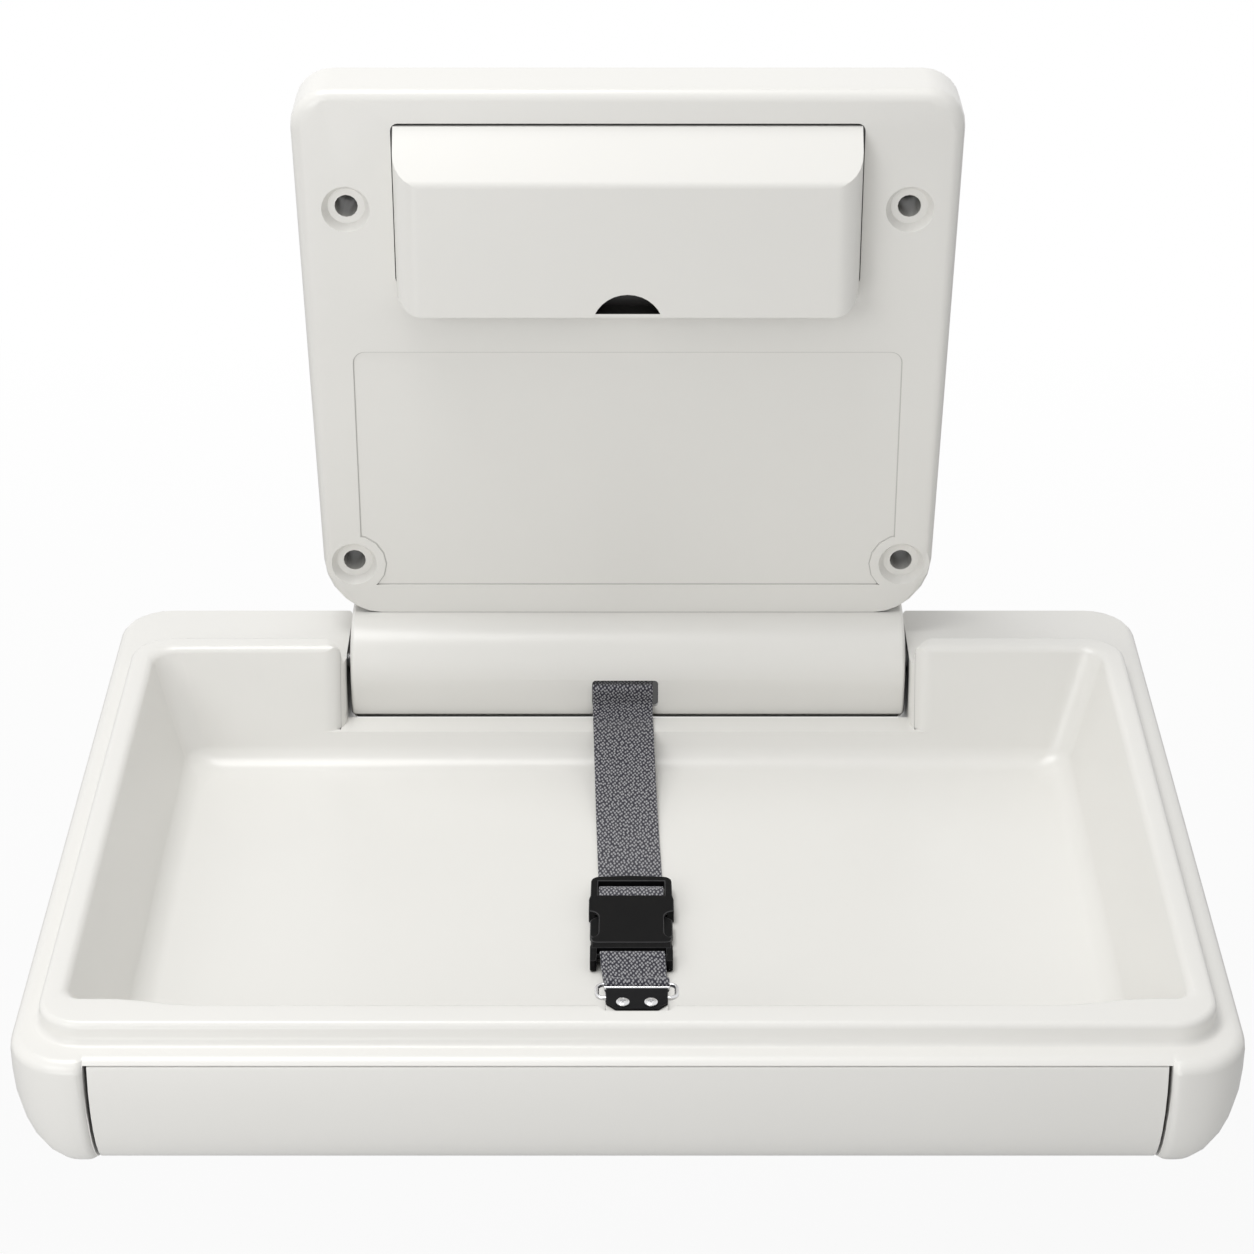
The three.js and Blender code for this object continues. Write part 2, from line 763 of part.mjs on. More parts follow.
// Bed tray: lip, ledge, sloped basin, side rails and the rear notch round the hinge barrel
function bedOutline(inset, rearInset, segments) {
  const half = bedHalf - inset;
  const front = bedFront + inset;
  const rear = bedRear - rearInset;
  const frontRadius = Math.max(bedFrontRadius - inset, leastRadius);
  const rearRadius = Math.max(bedRearRadius - Math.max(inset, rearInset), leastRadius);
  const bulge = front - bulgeProud;
  const softened = (corners) => rounded(corners, segments);
  return [
    ...softened([[-half, rear, 0], [-half, bulge, frontRadius], [-railInner, bulge, 0]]).slice(1, -1),
    ...railEdge(bulge, bulgeTurn).map(([x, y]) => new THREE.Vector2(-x, y)),
    ...railEdge(bulge, bulgeTurn).reverse().map(([x, y]) => new THREE.Vector2(x, y)),
    ...softened([[railInner, bulge, 0], [half, bulge, frontRadius], [half, rear, 0]]).slice(1, -1),
    ...softened([[half, bulge, 0], [half, rear, rearRadius], [-half, rear, 0]]).slice(1, -1),
    ...softened([[half, rear, 0], [-half, rear, rearRadius], [-half, bulge, 0]]).slice(1, -1),
  ];
}

// The quarter ellipse that turns the bed's sides and front under: how far in, at which height.
function underTurn(inset, steps) {
  const across = bedTurn - inset;
  const down = bedTurnHeight - inset;
  return Array.from({ length: steps + 1 }, (_, k) => {
    const angle = (Math.PI / 2) * (1 - k / steps);
    return { draw: across * (1 - Math.cos(angle)), z: bedUnder + bedTurnHeight - down * Math.sin(angle) };
  });
}

function bedBlock(inset) {
  const segments = inset ? hiddenSegments : arcSegments;
  const lower = underTurn(inset, inset ? 3 : 7).map(({ draw, z }) => {
    return { points: bedOutline(inset + draw, inset, segments), w: z };
  });
  const edge = bedTopRadius - inset;
  const upper = quarter(edge, segments / 2).map(({ inset: draw, rise }) => {
    const rearDraw = inset + draw * rearEdgeShare;
    return { points: bedOutline(inset + draw, rearDraw, segments), w: ledgeHeight - inset - edge + rise };
  });
  return loft([...lower, ...upper], 'z');
}

function lipBlock(inset) {
  const edge = lipEdgeRadius - Math.min(inset, lipEdgeRadius - 1);
  const segments = inset ? hiddenSegments : arcSegments;
  const outline = (draw) => rounded(
    rectangle(-lipHalf + draw, lipHalf - draw, lipFront + draw, lipBack - draw, lipRadius - draw),
    segments,
  );
  const steps = quarter(edge, segments / 2).map(({ inset: draw, rise }) => {
    return { points: outline(inset + draw), w: lipTop - inset - edge + rise };
  });
  const flare = quarter(lipFlare, segments / 2).map(({ inset: draw, rise }) => {
    return { points: outline(inset - lipFlare + rise), w: ledgeHeight - inset + draw };
  });
  const root = { points: outline(inset - lipFlare), w: ledgeHeight - bedWall - 2 };
  const foot = inset ? [{ points: outline(inset), w: root.w }] : [root, ...flare];
  return loft([...foot, ...steps], 'z');
}

// The hollow of the basin, grown outwards by the wall where its outer skin is wanted.
// Its front wall steps forward in a long curve to a wider bay between the two ends.
function basin(grow) {
  const segments = grow ? hiddenSegments : arcSegments;
  const outline = (draw) => {
    const half = basinHalf - draw + grow;
    const front = basinFront + draw - grow;
    const rear = basinBack - draw * basinRearLean + grow;
    const bay = front - bayDepth;
    const outer = half - bayStart;
    const inner = outer - bayRun;
    return rounded([
      [-half, front, basinFrontRadius],
      [-outer, front, bayBlend, 3],
      [-inner, bay, bayBlend, 3],
      [inner, bay, bayBlend, 3],
      [outer, front, bayBlend, 3],
      [half, front, basinFrontRadius],
      [half, rear, basinRearRadius],
      [-half, rear, basinRearRadius],
    ], segments);
  };
  const depth = (z) => (lipTop - z) * basinDraft;
  const flare = quarter(lipEdgeRadius, segments / 2).map(({ inset, rise }) => {
    const z = lipTop + 0.01 - lipEdgeRadius + rise;
    return { points: outline(depth(z) - inset), w: z };
  });
  const low = floorHeight - grow;
  const foot = quarter(basinFillet, segments / 2).reverse().map(({ inset, rise }) => {
    const z = low + basinFillet - rise;
    return { points: outline(depth(z) + inset), w: z };
  });
  return loft([...foot, ...flare, { points: outline(-lipEdgeRadius), w: lipTop + overcut }], 'z');
}

// Where the basin's rear wall stands at a height.
const rearWall = (z) => basinBack - (lipTop - z) * basinDraft * basinRearLean;

// The space that the hinge barrel and the panel need in the bed's rear edge.
function notch(grow) {
  const half = notchHalf + grow;
  const barrel = rod('x', notchRadius + grow, hingeY, 0, -half, half, notchRadius + grow, 36);
  const behind = block(-half, half, hingeY, overcut, bedUnder - overcut, lipTop + overcut);
  const ridgeFront = rearWall(ridgeHeight) - grow;
  const above = block(-half, half, ridgeFront, hingeY, ridgeHeight - grow, lipTop + overcut);
  return join(barrel, behind, above);
}

// The upright wall that follows the rounded corner of each cheek, kept out of the bed's hollow.
function cheekPost() {
  const post = (radius) => {
    const ring = (z) => ({
      points: circle(notchHalf + cheekRadius, rearWall(z) + cheekRadius, radius, 14),
      w: z,
    });
    return loft([ring(ridgeHeight - bedWall), ring(lipTop)], 'z');
  };
  return both(cut(post(cheekRadius), post(cheekRadius - bedWall)));
}

// Rounds an upright corner of the bed's cheek, at x and y, over a height.
function cheekCorner(yLow, yHigh, zLow, zHigh, radius, towards) {
  const section = (y, z) => {
    const points = rounded([
      [notchHalf - 2, y - 3 * towards, 0],
      [notchHalf + radius, y - 3 * towards, 0],
      [notchHalf + radius, y, 0],
    ]);
    for (let k = 1; k <= arcSegments; k += 1) {
      const angle = (Math.PI / 2) * (k / arcSegments);
      const x = notchHalf + radius * (1 - Math.sin(angle));
      points.push(new THREE.Vector2(x, y + towards * radius * (1 - Math.cos(angle))));
    }
    points.push(new THREE.Vector2(notchHalf - 2, y + towards * radius));
    if (THREE.ShapeUtils.isClockWise(points)) points.reverse();
    return { points, w: z };
  };
  return both(loft([section(yLow, zLow), section(yHigh, zHigh)], 'z'));
}

function lipEnds() {
  const outline = [
    [notchHalf - 2, lipBack + lipFlare + 3],
    [notchHalf - 2, basinBack + 2],
    [notchHalf + 1, basinBack + 2],
    [notchHalf + lipEndRun, lipBack],
    [notchHalf + lipEndRun, lipBack + lipFlare + 3],
  ];
  const fall = [[notchHalf - 2, lipTop + 1], [notchHalf - 2, lipTop - lipEndDrop]];
  for (let k = 0; k <= arcSegments; k += 1) {
    const angle = (Math.PI / 2) * (k / arcSegments);
    const across = notchHalf + lipEndDrop * (1 - Math.cos(angle));
    fall.push([across, lipTop - lipEndDrop * (1 - Math.sin(angle))]);
  }
  fall.push([notchHalf + lipEndDrop, lipTop + 1]);
  const rounding = prism(fall, 'front', -lipBack - lipFlare, -basinBack + lipEndDrop);
  return both(join(prism(outline, 'z', ledgeHeight, lipTop + 1), rounding));
}

const pocketFloor = lipTop - pocketDepth;
const pocketWall = basinFront - bayDepth - pocketFront;

function strapPocket() {
  const outline = rounded([
    [bracketX - pocketHalf + 8, pocketWall, 5],
    [bracketX + pocketHalf - 8, pocketWall, 5],
    [bracketX + pocketHalf, pocketWall + 12, 0],
    [bracketX + pocketHalf, tongueRear + overcut, 0],
    [bracketX - pocketHalf, tongueRear + overcut, 0],
    [bracketX - pocketHalf, pocketWall + 12, 0],
  ], 4);
  return prism(outline, 'z', pocketFloor, lipTop + 1);
}

function strapTongue() {
  const outline = [
    [pocketWall, pocketFloor - tongueHeight * 2],
    [tongueRear, pocketFloor - tongueHeight],
    [tongueRear, pocketFloor],
    [pocketWall, pocketFloor],
  ].reverse();
  return prism(outline, 'x', bracketX - tongueHalf, bracketX + tongueHalf);
}

const screwRows = shellScrewRows.flatMap((y) => [[-shellScrewX, y], [shellScrewX, y]]);

function bedTray() {
  const room = bedBlock(bedWall);
  const middle = room.intersect(
    block(-railInner, railInner, bedFront - 1, overcut, bedUnder - overcut, lipTop),
  );
  const below = block(
    -railInner, railInner, bedFront - overcut, bedRear - bedWall,
    bedUnder - overcut, floorHeight - bedWall,
  );
  const bayEdge = railEdge(bedFront - bulgeProud, Math.PI / 2);
  const bayPlan = [
    [-railInner - railEdgeRadius, bedFront - overcut],
    [railInner + railEdgeRadius, bedFront - overcut],
    ...bayEdge,
    [railInner, lipFront],
    [-railInner, lipFront],
    ...bayEdge.map(([x, y]) => [-x, y]).reverse(),
  ];
  const frontBay = prism(bayPlan, 'z', bedUnder - overcut, ledgeHeight - bedWall);
  const railRoom = both(room.intersect(
    block(railInner + bedWall, bedHalf, bedFront, overcut, bedUnder - overcut, lipTop),
  ));
  const railWindow = both(block(
    railInner - 2, railInner + bedWall + 2,
    bedFront / 2 - railWindowHalf, bedFront / 2 + railWindowHalf,
    bedUnder + railWindowEdge, floorHeight - railWindowEdge,
  ));
  const space = join(middle, below, frontBay, railRoom, lipBlock(bedWall));
  const hollow = cut(space, basin(bedWall), notch(bedWall), cheekPost());
  const bosses = screwRows.map(([x, y]) => {
    const low = shellUnder + shellWall * 2 + clearance;
    return rod('z', shellScrewBoss, x, y, low, floorHeight - bedWall + 1, shellScrewBoss, 12);
  });
  const bossHoles = screwRows.map(([x, y]) => {
    return rod('z', shellScrewRadius + clearance, x, y, bedUnder, floorHeight - bedWall);
  });
  const shaftHole = both(
    rod('x', shaftRadius + clearance, hingeY, 0, notchHalf - 1, notchHalf + bedWall + 1),
  );
  const ringGroove = rod('x', ringWire + 0.6, ringBar, pocketFloor - ringDrop + clearance,
    bracketX - tongueHalf - 1, bracketX + tongueHalf + 1);
  const ringGrooveTop = block(
    bracketX - tongueHalf - 1, bracketX + tongueHalf + 1,
    ringBar - ringWire - 0.6, ringBar + ringWire + 0.6, pocketFloor - ringDrop, pocketFloor + 1,
  );
  const screwHoles = [-1, 1].map((side) => {
    const x = bracketX + (side * strapScrewSpacing) / 2;
    const low = pocketFloor - strapScrewLength;
    return rod('z', strapScrewShank + clearance, x, strapScrewY, low, pocketFloor + 1);
  });
  const body = join(bedBlock(0), lipBlock(0).subtract(lipEnds()));
  const shell = cut(body, hollow, railWindow, basin(0), notch(0));
  const cheeks = cut(
    shell,
    cheekCorner(rearWall(ridgeHeight), rearWall(lipTop + 5), ridgeHeight, lipTop + 5, cheekRadius, 1),
    cheekCorner(bedRear, bedRear, bedUnder - 1, lipTop, cheekRearRadius, -1),
  );
  const detailed = cut(join(cheeks, ...bosses), ...bossHoles, shaftHole);
  const pocketed = cut(detailed, strapPocket());
  return cut(join(pocketed, strapTongue()), ringGroove, ringGrooveTop, ...screwHoles);
}

add('bed_tray', bedTray(), whitePlastic);

// Lower shell: closes the bed below and rolls up as its front between the rails
function shellProfile(inset) {
  const open = inset ? overcut : 0;
  const front = bedFront - shellProud + inset;
  const low = shellUnder + inset;
  const top = ledgeHeight - bedWall - shellTopGap + open;
  const inner = floorHeight - bedWall - shellTopGap * 3 + open;
  const back = bedRear - bedWall - shellRearGap - inset;
  const wallBack = front + shellRoll - inset + open;
  const turn = underTurn(inset, inset ? 4 : 7).map(({ draw, z }) => [front + draw, z + shellLift, 0]);
  return rounded([
    ...turn.reverse(),
    [back, low, 6],
    [back, inner, 0],
    [wallBack, inner, 0],
    [wallBack, top, 0],
    [front + shellTopDraw, top, inset ? 0 : shellTopDraw - 0.5],
  ], 4);
}

function lowerShell() {
  const plan = rounded([
    [-shellHalf, bedFront - shellProud, shellEndRadius],
    [shellHalf, bedFront - shellProud, shellEndRadius],
    [shellHalf, 0, 0],
    [-shellHalf, 0, 0],
  ], 5);
  const face = rounded([
    [-shellHalf, shellUnder, shellEndRadius],
    [shellHalf, shellUnder, shellEndRadius],
    [shellHalf, lipTop, 0],
    [-shellHalf, lipTop, 0],
  ], 5);
  const outside = prism(shellProfile(0), 'x', -shellHalf, shellHalf)
    .intersect(prism(plan, 'z', bedUnder, lipTop))
    .intersect(prism(face, 'front', 0, bedDepth * 2));
  const inside = prism(shellProfile(shellWall), 'x', -shellHalf + shellWall, shellHalf - shellWall);
  const seatTop = shellUnder + shellWall * 2;
  const seats = screwRows.map(([x, y]) => rod('z', shellScrewBoss + 3, x, y, shellUnder + 0.5, seatTop));
  const holes = screwRows.map(([x, y]) => join(
    rod('z', shellScrewRadius + clearance, x, y, shellUnder - 1, shellUnder + overcut),
    rod('z', shellScrewHead + clearance, x, y, shellUnder - 1, shellUnder + shellWall),
  ));
  const hingeHalf = notchHalf + bedWall + 2;
  const hingeRoom = block(-hingeHalf, hingeHalf, hingeY - 2, overcut, shellUnder - 1, lipTop);
  return cut(join(cut(outside, inside), ...seats), notch(bedWall + 2), hingeRoom, ...holes);
}

add('bed_lower_shell', lowerShell(), whitePlastic);

// A pan-head screw standing on its head's seat, turned on its axis and set along Z.
function screw(head, headHeight, shank, length) {
  const profile = [
    [0, -length],
    [shank * 0.6, -length],
    [shank, -length + shank],
    [shank, 0],
    [head, 0],
    [head, headHeight * 0.4],
    [head * 0.7, headHeight * 0.85],
    [0, headHeight],
  ].map(([r, z]) => new THREE.Vector2(r, z));
  return solid(new THREE.LatheGeometry(profile, screwSides).rotateX(Math.PI / 2));
}

screwRows.forEach(([x, y], i) => {
  const turned = screw(shellScrewHead, 2.6, shellScrewRadius, 18).rotate([180, 0, 0]);
  add(`shell_screw_${i + 1}`, turned.translate([x, y, shellUnder + shellWall - clearance]), zincSteel);
});

// Steel arms under the ledge hold the shafts; rubber buffers behind the bed meet the wall
function arm() {
  const start = notchHalf + bedWall + clearance;
  const top = ledgeHeight - bedWall - clearance;
  const plateOutline = rounded([
    [armFar, -armDrop, 16],
    [armNear, -armDrop, 16],
    [armNear, top, 0],
    [armFar, top, 0],
  ], 4);
  const plate = prism(plateOutline, 'x', start, start + armPlate);
  const flange = block(start, start + armFlange, armFar, armNear, top - armPlate, top);
  const hub = rod('x', shaftRadius + 6, hingeY, 0, start, shaftOut - 1);
  const bore = rod('x', shaftRadius + clearance, hingeY, 0, start - 1, shaftOut + 1);
  return cut(join(plate, flange, hub), bore);
}

addPair('hinge_arm', arm(), zincSteel);

function buffer() {
  const wallSide = 0.5;
  const seat = -bedRear - clearance;
  const middle = -bufferDrop + bufferRadius * 1.5;
  return rod('front', bufferRadius - bufferTaper, bufferX, middle, wallSide, seat, bufferRadius);
}

addPair('bed_buffer', buffer(), blackRubber);

// Strap bracket on the front lip, its screws and the wire ring it traps
const plateLow = pocketFloor + clearance;
const plateTop = plateLow + bracketPlate;

function strapBracket() {
  const left = bracketX - bracketWidth / 2;
  const right = bracketX + bracketWidth / 2;
  const front = bracketRear - bracketLength;
  const outline = [
    [left + bracketChamfer, front],
    [right - bracketChamfer, front],
    [right, front + bracketChamfer],
    [right, bracketRear],
    [left, bracketRear],
    [left, front + bracketChamfer],
  ];
  const holes = [-1, 1].map((side) => rod('z', strapScrewShank + clearance,
    bracketX + (side * strapScrewSpacing) / 2, strapScrewY, plateLow - 1, plateTop + 1));
  const hemStart = bracketX - hemLength / 2;
  const hem = rod('x', hemRadius, bracketRear, plateLow + hemRadius, hemStart, hemStart + hemLength);
  return cut(join(prism(outline, 'z', plateLow, plateTop), hem), ...holes);
}

add('strap_bracket', strapBracket(), blackSteel);

const strapScrewSeat = plateTop + clearance;
const strapScrew = screw(strapScrewHead, strapScrewHeadHeight, strapScrewShank, strapScrewLength);
['left', 'right'].forEach((side, i) => {
  const x = bracketX + (i - 0.5) * strapScrewSpacing;
  add(`strap_screw_${side}`, strapScrew.translate([x, strapScrewY, strapScrewSeat]), brightSteel);
});

const ringZ = plateLow - ringDrop;
const ringFar = ringBar + ringReach;

function strapRing() {
  const half = ringLength / 2 - ringWire;
  const sides = 8;
  const path = rounded(rectangle(bracketX - half, bracketX + half, ringBar, ringFar, ringBend), 4);
  const rings = path.map((point, i) => {
    const before = path[(i + path.length - 1) % path.length];
    const after = path[(i + 1) % path.length];
    const heading = after.clone().sub(before).normalize();
    return {
      centre: new THREE.Vector3(point.x, point.y, ringZ),
      out: new THREE.Vector3(heading.y, -heading.x, 0),
    };
  });
  const positions = [];
  const index = [];
  rings.forEach(({ centre, out }, i) => {
    for (let k = 0; k < sides; k += 1) {
      const angle = (2 * Math.PI * k) / sides;
      const point = centre.clone().addScaledVector(out, ringWire * Math.cos(angle));
      positions.push(point.x, point.y, point.z + ringWire * Math.sin(angle));
      const a = i * sides + k;
      const b = i * sides + ((k + 1) % sides);
      const c = ((i + 1) % rings.length) * sides + ((k + 1) % sides);
      const d = ((i + 1) % rings.length) * sides + k;
      index.push(a, c, b, a, d, c);
    }
  });
  const geometry = new THREE.BufferGeometry();
  geometry.setAttribute('position', new THREE.Float32BufferAttribute(positions, 3));
  geometry.setIndex(index);
  return solid(geometry);
}

add('strap_ring', strapRing(), brightSteel);

// Buckle: a socket with side windows, and a plug whose two sprung arms carry the release tabs
const buckleLow = floorHeight + buckleLift;
const buckleTop = buckleLow + buckleThickness;
const buckleMid = (buckleLow + buckleTop) / 2;
const socketFront = buckleRear - socketLength;
const windowRear = buckleRear - strapBar + 4;
const windowFront = windowRear - strapWindow;
const releaseBack = buckleRear - releaseRear;
const releaseFront = releaseBack - releaseLength;
const socketHalf = buckleWidth / 2;

function buckleSocket() {
  const left = buckleX - socketHalf;
  const right = buckleX + socketHalf;
  const outline = rounded([
    [left + 3.5, socketFront, 4],
    [right - 3.5, socketFront, 4],
    [right, socketFront + 24, 30],
    [right, windowFront - 6, 12],
    [right - 1.2, windowFront, 2],
    [right - 1.6, buckleRear - 1, 7],
    [buckleX, buckleRear + 1, 90],
    [left + 1.6, buckleRear - 1, 7],
    [left + 1.2, windowFront, 2],
    [left, windowFront - 6, 12],
    [left, socketFront + 24, 30],
  ], 4);
  const body = prism(outline, 'z', buckleLow, buckleTop);
  const inner = socketHalf - socketWall * 2;
  const plugRoom = block(
    buckleX - inner, buckleX + inner, socketFront - 1, windowFront - 5,
    buckleLow + socketWall, buckleTop - socketWall,
  );
  const window = block(
    buckleX - webWidth / 2 - 1, buckleX + webWidth / 2 + 1, windowFront, windowRear,
    buckleLow - 1, buckleTop + 1,
  );
  const strapWay = block(
    buckleX - webWidth / 2 - 1, buckleX + webWidth / 2 + 1, windowRear - 1, buckleRear + 1,
    buckleLow - 1, buckleLow + webThickness + 1,
  );
  const releaseRoom = [-1, 1].map((side) => prism(
    rounded(rectangle(-releaseWidth, releaseWidth, releaseFront - 1, releaseBack + 1, 8), 5),
    'z',
    buckleLow - 1,
    buckleTop + 1,
  ).translate([buckleX + side * (socketHalf + 1), 0, 0]));
  return cut(body, plugRoom, window, strapWay, ...releaseRoom);
}

add('buckle_socket', buckleSocket(), blackPlastic);

const plugInner = socketHalf - socketWall * 2 - clearance;
const plugLow = buckleLow + socketWall + clearance;
const plugTop = buckleTop - socketWall - clearance;
const plugFront = socketFront - plugLength;
const plugBarY = socketFront - 12;
const plugWebX = buckleX + 0.7;

function bucklePlug() {
  const baseHalf = plugInner - releaseWidth;
  const base = block(
    buckleX - baseHalf, buckleX + baseHalf, socketFront - 1, socketFront + plugBlock, plugLow, plugTop,
  );
  const guide = block(
    buckleX - plugGuide, buckleX + plugGuide, socketFront - 1, socketFront + plugGuideLength,
    plugLow, plugTop,
  );
  const shoulder = block(
    buckleX - socketHalf + 3, buckleX + socketHalf - 3, socketFront - 5, socketFront - clearance,
    buckleLow + 0.5, buckleTop - 0.5,
  );
  const legs = [-1, 1].map((side) => {
    const outer = side * (socketHalf - 1.5);
    const edge = side * (socketHalf - 1.5 - plugLeg);
    const leg = rectangle(Math.min(outer, edge), Math.max(outer, edge), plugFront, socketFront - 1, 2);
    return prism(rounded(leg, 4), 'z', buckleLow + 0.5, buckleTop - 1).translate([buckleX, 0, 0]);
  });
  const barHalf = socketHalf - 4;
  const bar = rod('x', plugBarRadius, plugBarY, buckleMid, buckleX - barHalf, buckleX + barHalf);
  return join(base, guide, shoulder, ...legs, bar);
}

add('buckle_plug', bucklePlug(), blackPlastic);

// Each arm flexes about its root beside the plug's base and its tab fills the socket's side window.
function releaseArm() {
  const armInner = plugInner - releaseWidth + clearance;
  const rootFront = socketFront + 2;
  const outline = rounded([
    [armInner, rootFront, 0],
    [plugInner - 3, rootFront, 0],
    [plugInner - 1.5, releaseFront, 0],
    [socketHalf - 1.2, releaseFront + 6, 4],
    [socketHalf - 1.2, releaseBack - 8, 4],
    [plugInner - 3, releaseBack - 2, 2],
    [armInner + 2.5, releaseBack - 6, 2],
    [armInner + 2.5, rootFront + 3, 0],
  ], 4);
  return prism(outline, 'z', plugLow, plugTop);
}

addPair('buckle_release', releaseArm(), blackPlastic);
station.children.slice(-2).forEach((mesh) => {
  mesh.position.x = buckleX;
});

// Upper webbing, from the barrel's slot over the ridge and along the floor to the socket
const webFloor = floorHeight + webLift + webThickness / 2;

function upperStrap() {
  const ridgeTop = ridgeHeight + webLift + webThickness / 2;
  const hang = hingeY - barrelRadius - webLift - webThickness;
  const ridgeEdge = rearWall(ridgeHeight);
  const sagStart = ridgeEdge - 5;
  const sagTop = ridgeTop - 1.4;
  const sagRun = buckleRear + webSagEnd - sagStart;
  const sag = [0.12, 0.25, 0.4, 0.6, 0.8, 1].map((share) => {
    return [sagStart + sagRun * share, webFloor + (sagTop - webFloor) * (1 - share) ** 2];
  });
  const line = [
    [hang, -1],
    [hang, -7],
    [hang, -13],
    [ridgeBack - 1.4, ridgeTop + 3.1],
    [ridgeBack - 8.4, ridgeTop + 0.4],
    [ridgeBack - 19.4, ridgeTop],
    [ridgeEdge + 1, ridgeTop],
    [sagStart, sagTop],
    ...sag,
    [buckleRear + 8, webFloor],
    [buckleRear - 3, webFloor + 0.2],
    [windowRear, webFloor + 0.9],
    [windowFront + 5, buckleMid - 1.5],
    [windowFront + 2, buckleMid + 1.5],
  ];
  return strapBand(line, webThickness, webSlotX, webBuckleX, webWidth);
}

add('upper_strap', upperStrap(), greyWebbing);

// Lower webbing: doubled, from the plug's bar along the floor, then up to the ring
function lowerStrap() {
  const plugEye = plugBarRadius + clearance;
  const doubled = webThickness * 2;
  const floorLine = floorHeight + webLift + webThickness;
  const line = [
    [plugBarY - plugEye, buckleMid],
    [plugBarY - 8, buckleMid - 0.6],
    [plugBarY - 22, floorLine + 0.8],
    [plugBarY - 34, floorLine],
    [ringFar + 18, floorLine],
    [ringFar + 9, floorLine + 1.6],
    [ringFar + 3, floorLine + 6.5],
    [ringFar + 0.5, floorLine + 14],
    [ringFar, floorLine + 22],
    [ringFar, ringZ - ringSlack],
  ];
  const narrow = webWidth - 1;
  const ringFace = ringLength / 2 - ringWire - ringBend - 0.4;
  const band = strapBand(line, doubled, plugWebX, bracketX, narrow);
  const loopStart = plugWebX - narrow / 2;
  const plugOuter = plugEye + webThickness;
  const plugLoop = rod('x', plugOuter, plugBarY, buckleMid, loopStart, loopStart + narrow);
  const ringOuter = ringSlack + webThickness;
  const ringLoop = rod('x', ringOuter, ringFar, ringZ, bracketX - ringFace, bracketX + ringFace);
  const trim = block(ringFace, webWidth, ringFar - 30, ringFar + 30, ringZ - 14, ringZ + 14);
  const plugBore = rod('x', plugEye, plugBarY, buckleMid, -webWidth, webWidth);
  const ringBore = rod('x', ringSlack, ringFar, ringZ, -webWidth, webWidth);
  const trims = [trim, mirrorX(trim)].map((side) => side.translate([bracketX, 0, 0]));
  return cut(join(cut(band, ...trims), plugLoop, ringLoop), plugBore, ringBore);
}

add('lower_strap', lowerStrap(), greyWebbing);

export default station;
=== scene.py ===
import math

import bmesh
import bpy
from mathutils import Matrix, Vector


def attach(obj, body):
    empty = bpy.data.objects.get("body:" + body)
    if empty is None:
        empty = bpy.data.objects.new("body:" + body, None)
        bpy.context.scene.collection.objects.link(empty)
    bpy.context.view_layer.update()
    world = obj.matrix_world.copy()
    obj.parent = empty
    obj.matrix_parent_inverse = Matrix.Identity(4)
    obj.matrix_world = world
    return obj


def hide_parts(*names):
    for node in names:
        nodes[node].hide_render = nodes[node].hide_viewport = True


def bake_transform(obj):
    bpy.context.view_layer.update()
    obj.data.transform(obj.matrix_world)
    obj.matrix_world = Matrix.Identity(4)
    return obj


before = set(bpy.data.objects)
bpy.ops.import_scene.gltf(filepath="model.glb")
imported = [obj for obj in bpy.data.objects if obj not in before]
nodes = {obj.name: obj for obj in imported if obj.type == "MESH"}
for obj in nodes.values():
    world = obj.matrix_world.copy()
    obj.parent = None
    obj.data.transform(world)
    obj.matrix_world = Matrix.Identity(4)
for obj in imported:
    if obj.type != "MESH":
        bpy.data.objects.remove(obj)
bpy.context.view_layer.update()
bpy.context.scene.view_settings.view_transform = "Standard"


# Wall panel: a moulded polyethylene shell with soft edges, four dished screw holes and a shallow
# recess across its lower half. The wall screws clamp it over the steel chassis.
PANEL_EDGE = 0.0016
RECESS_EDGE = 0.0003
RECESS_FRONT = -0.0553
RECESS_BACK = -0.0535
RECESS_FLOOR_FRONT = -0.0541
# Painted shadow line along the recess step: its width and darkness.
RECESS_LINE = 0.0010
RECESS_SHADOW = 0.30
WALL_HOLES = ((-0.226, 0.1605), (0.226, 0.1605), (-0.232, -0.1605), (0.232, -0.1605))
BORE_RADIUS = 0.0098
BORE_FRONT = -0.0460
# Painted shade in the screw bores, darker on faces that look down.
BORE_SHADE = 0.58
BORE_SHADE_FALL = 0.34
RECESS_HALF = 0.2258
RECESS_LOW = -0.1830
RECESS_HIGH = 0.0390
# Painted shade in narrow gaps between mouldings: how far the occlusion reaches, and the near-black it darkens to.
JOINT_REACH = 0.012
GAP_SHADE_COLOUR = (0.012, 0.011, 0.010, 1.0)
PLASTIC_WHITE = (0.800, 0.790, 0.758, 1.0)


def linked(name, mesh):
    piece = bpy.data.objects.new(name, mesh)
    bpy.context.scene.collection.objects.link(piece)
    return piece


def paint(piece, material):
    piece.data.materials.clear()
    piece.data.materials.append(material)


def merged_copy(node):
    """A bmesh of a CAD node with its loose triangles joined and its flat faces made whole."""
    shape = bmesh.new()
    shape.from_mesh(nodes[node].data)
    bmesh.ops.remove_doubles(shape, verts=shape.verts, dist=1e-5)
    bmesh.ops.dissolve_limit(
        shape, angle_limit=math.radians(0.6), verts=shape.verts, edges=shape.edges
    )
    return shape


def soften(shape, edges, width, segments=3):
    """Rounds edges and returns the faces of the rounding."""
    rounding = bmesh.ops.bevel(
        shape,
        geom=edges,
        offset=width,
        affect="EDGES",
        segments=segments,
        profile=0.5,
        material=-1,
        clamp_overlap=True,
    )
    return rounding["faces"]


def sharp_edges(shape, degrees):
    limit = math.radians(degrees)
    return [e for e in shape.edges if len(e.link_faces) == 2 and e.calc_face_angle() > limit]


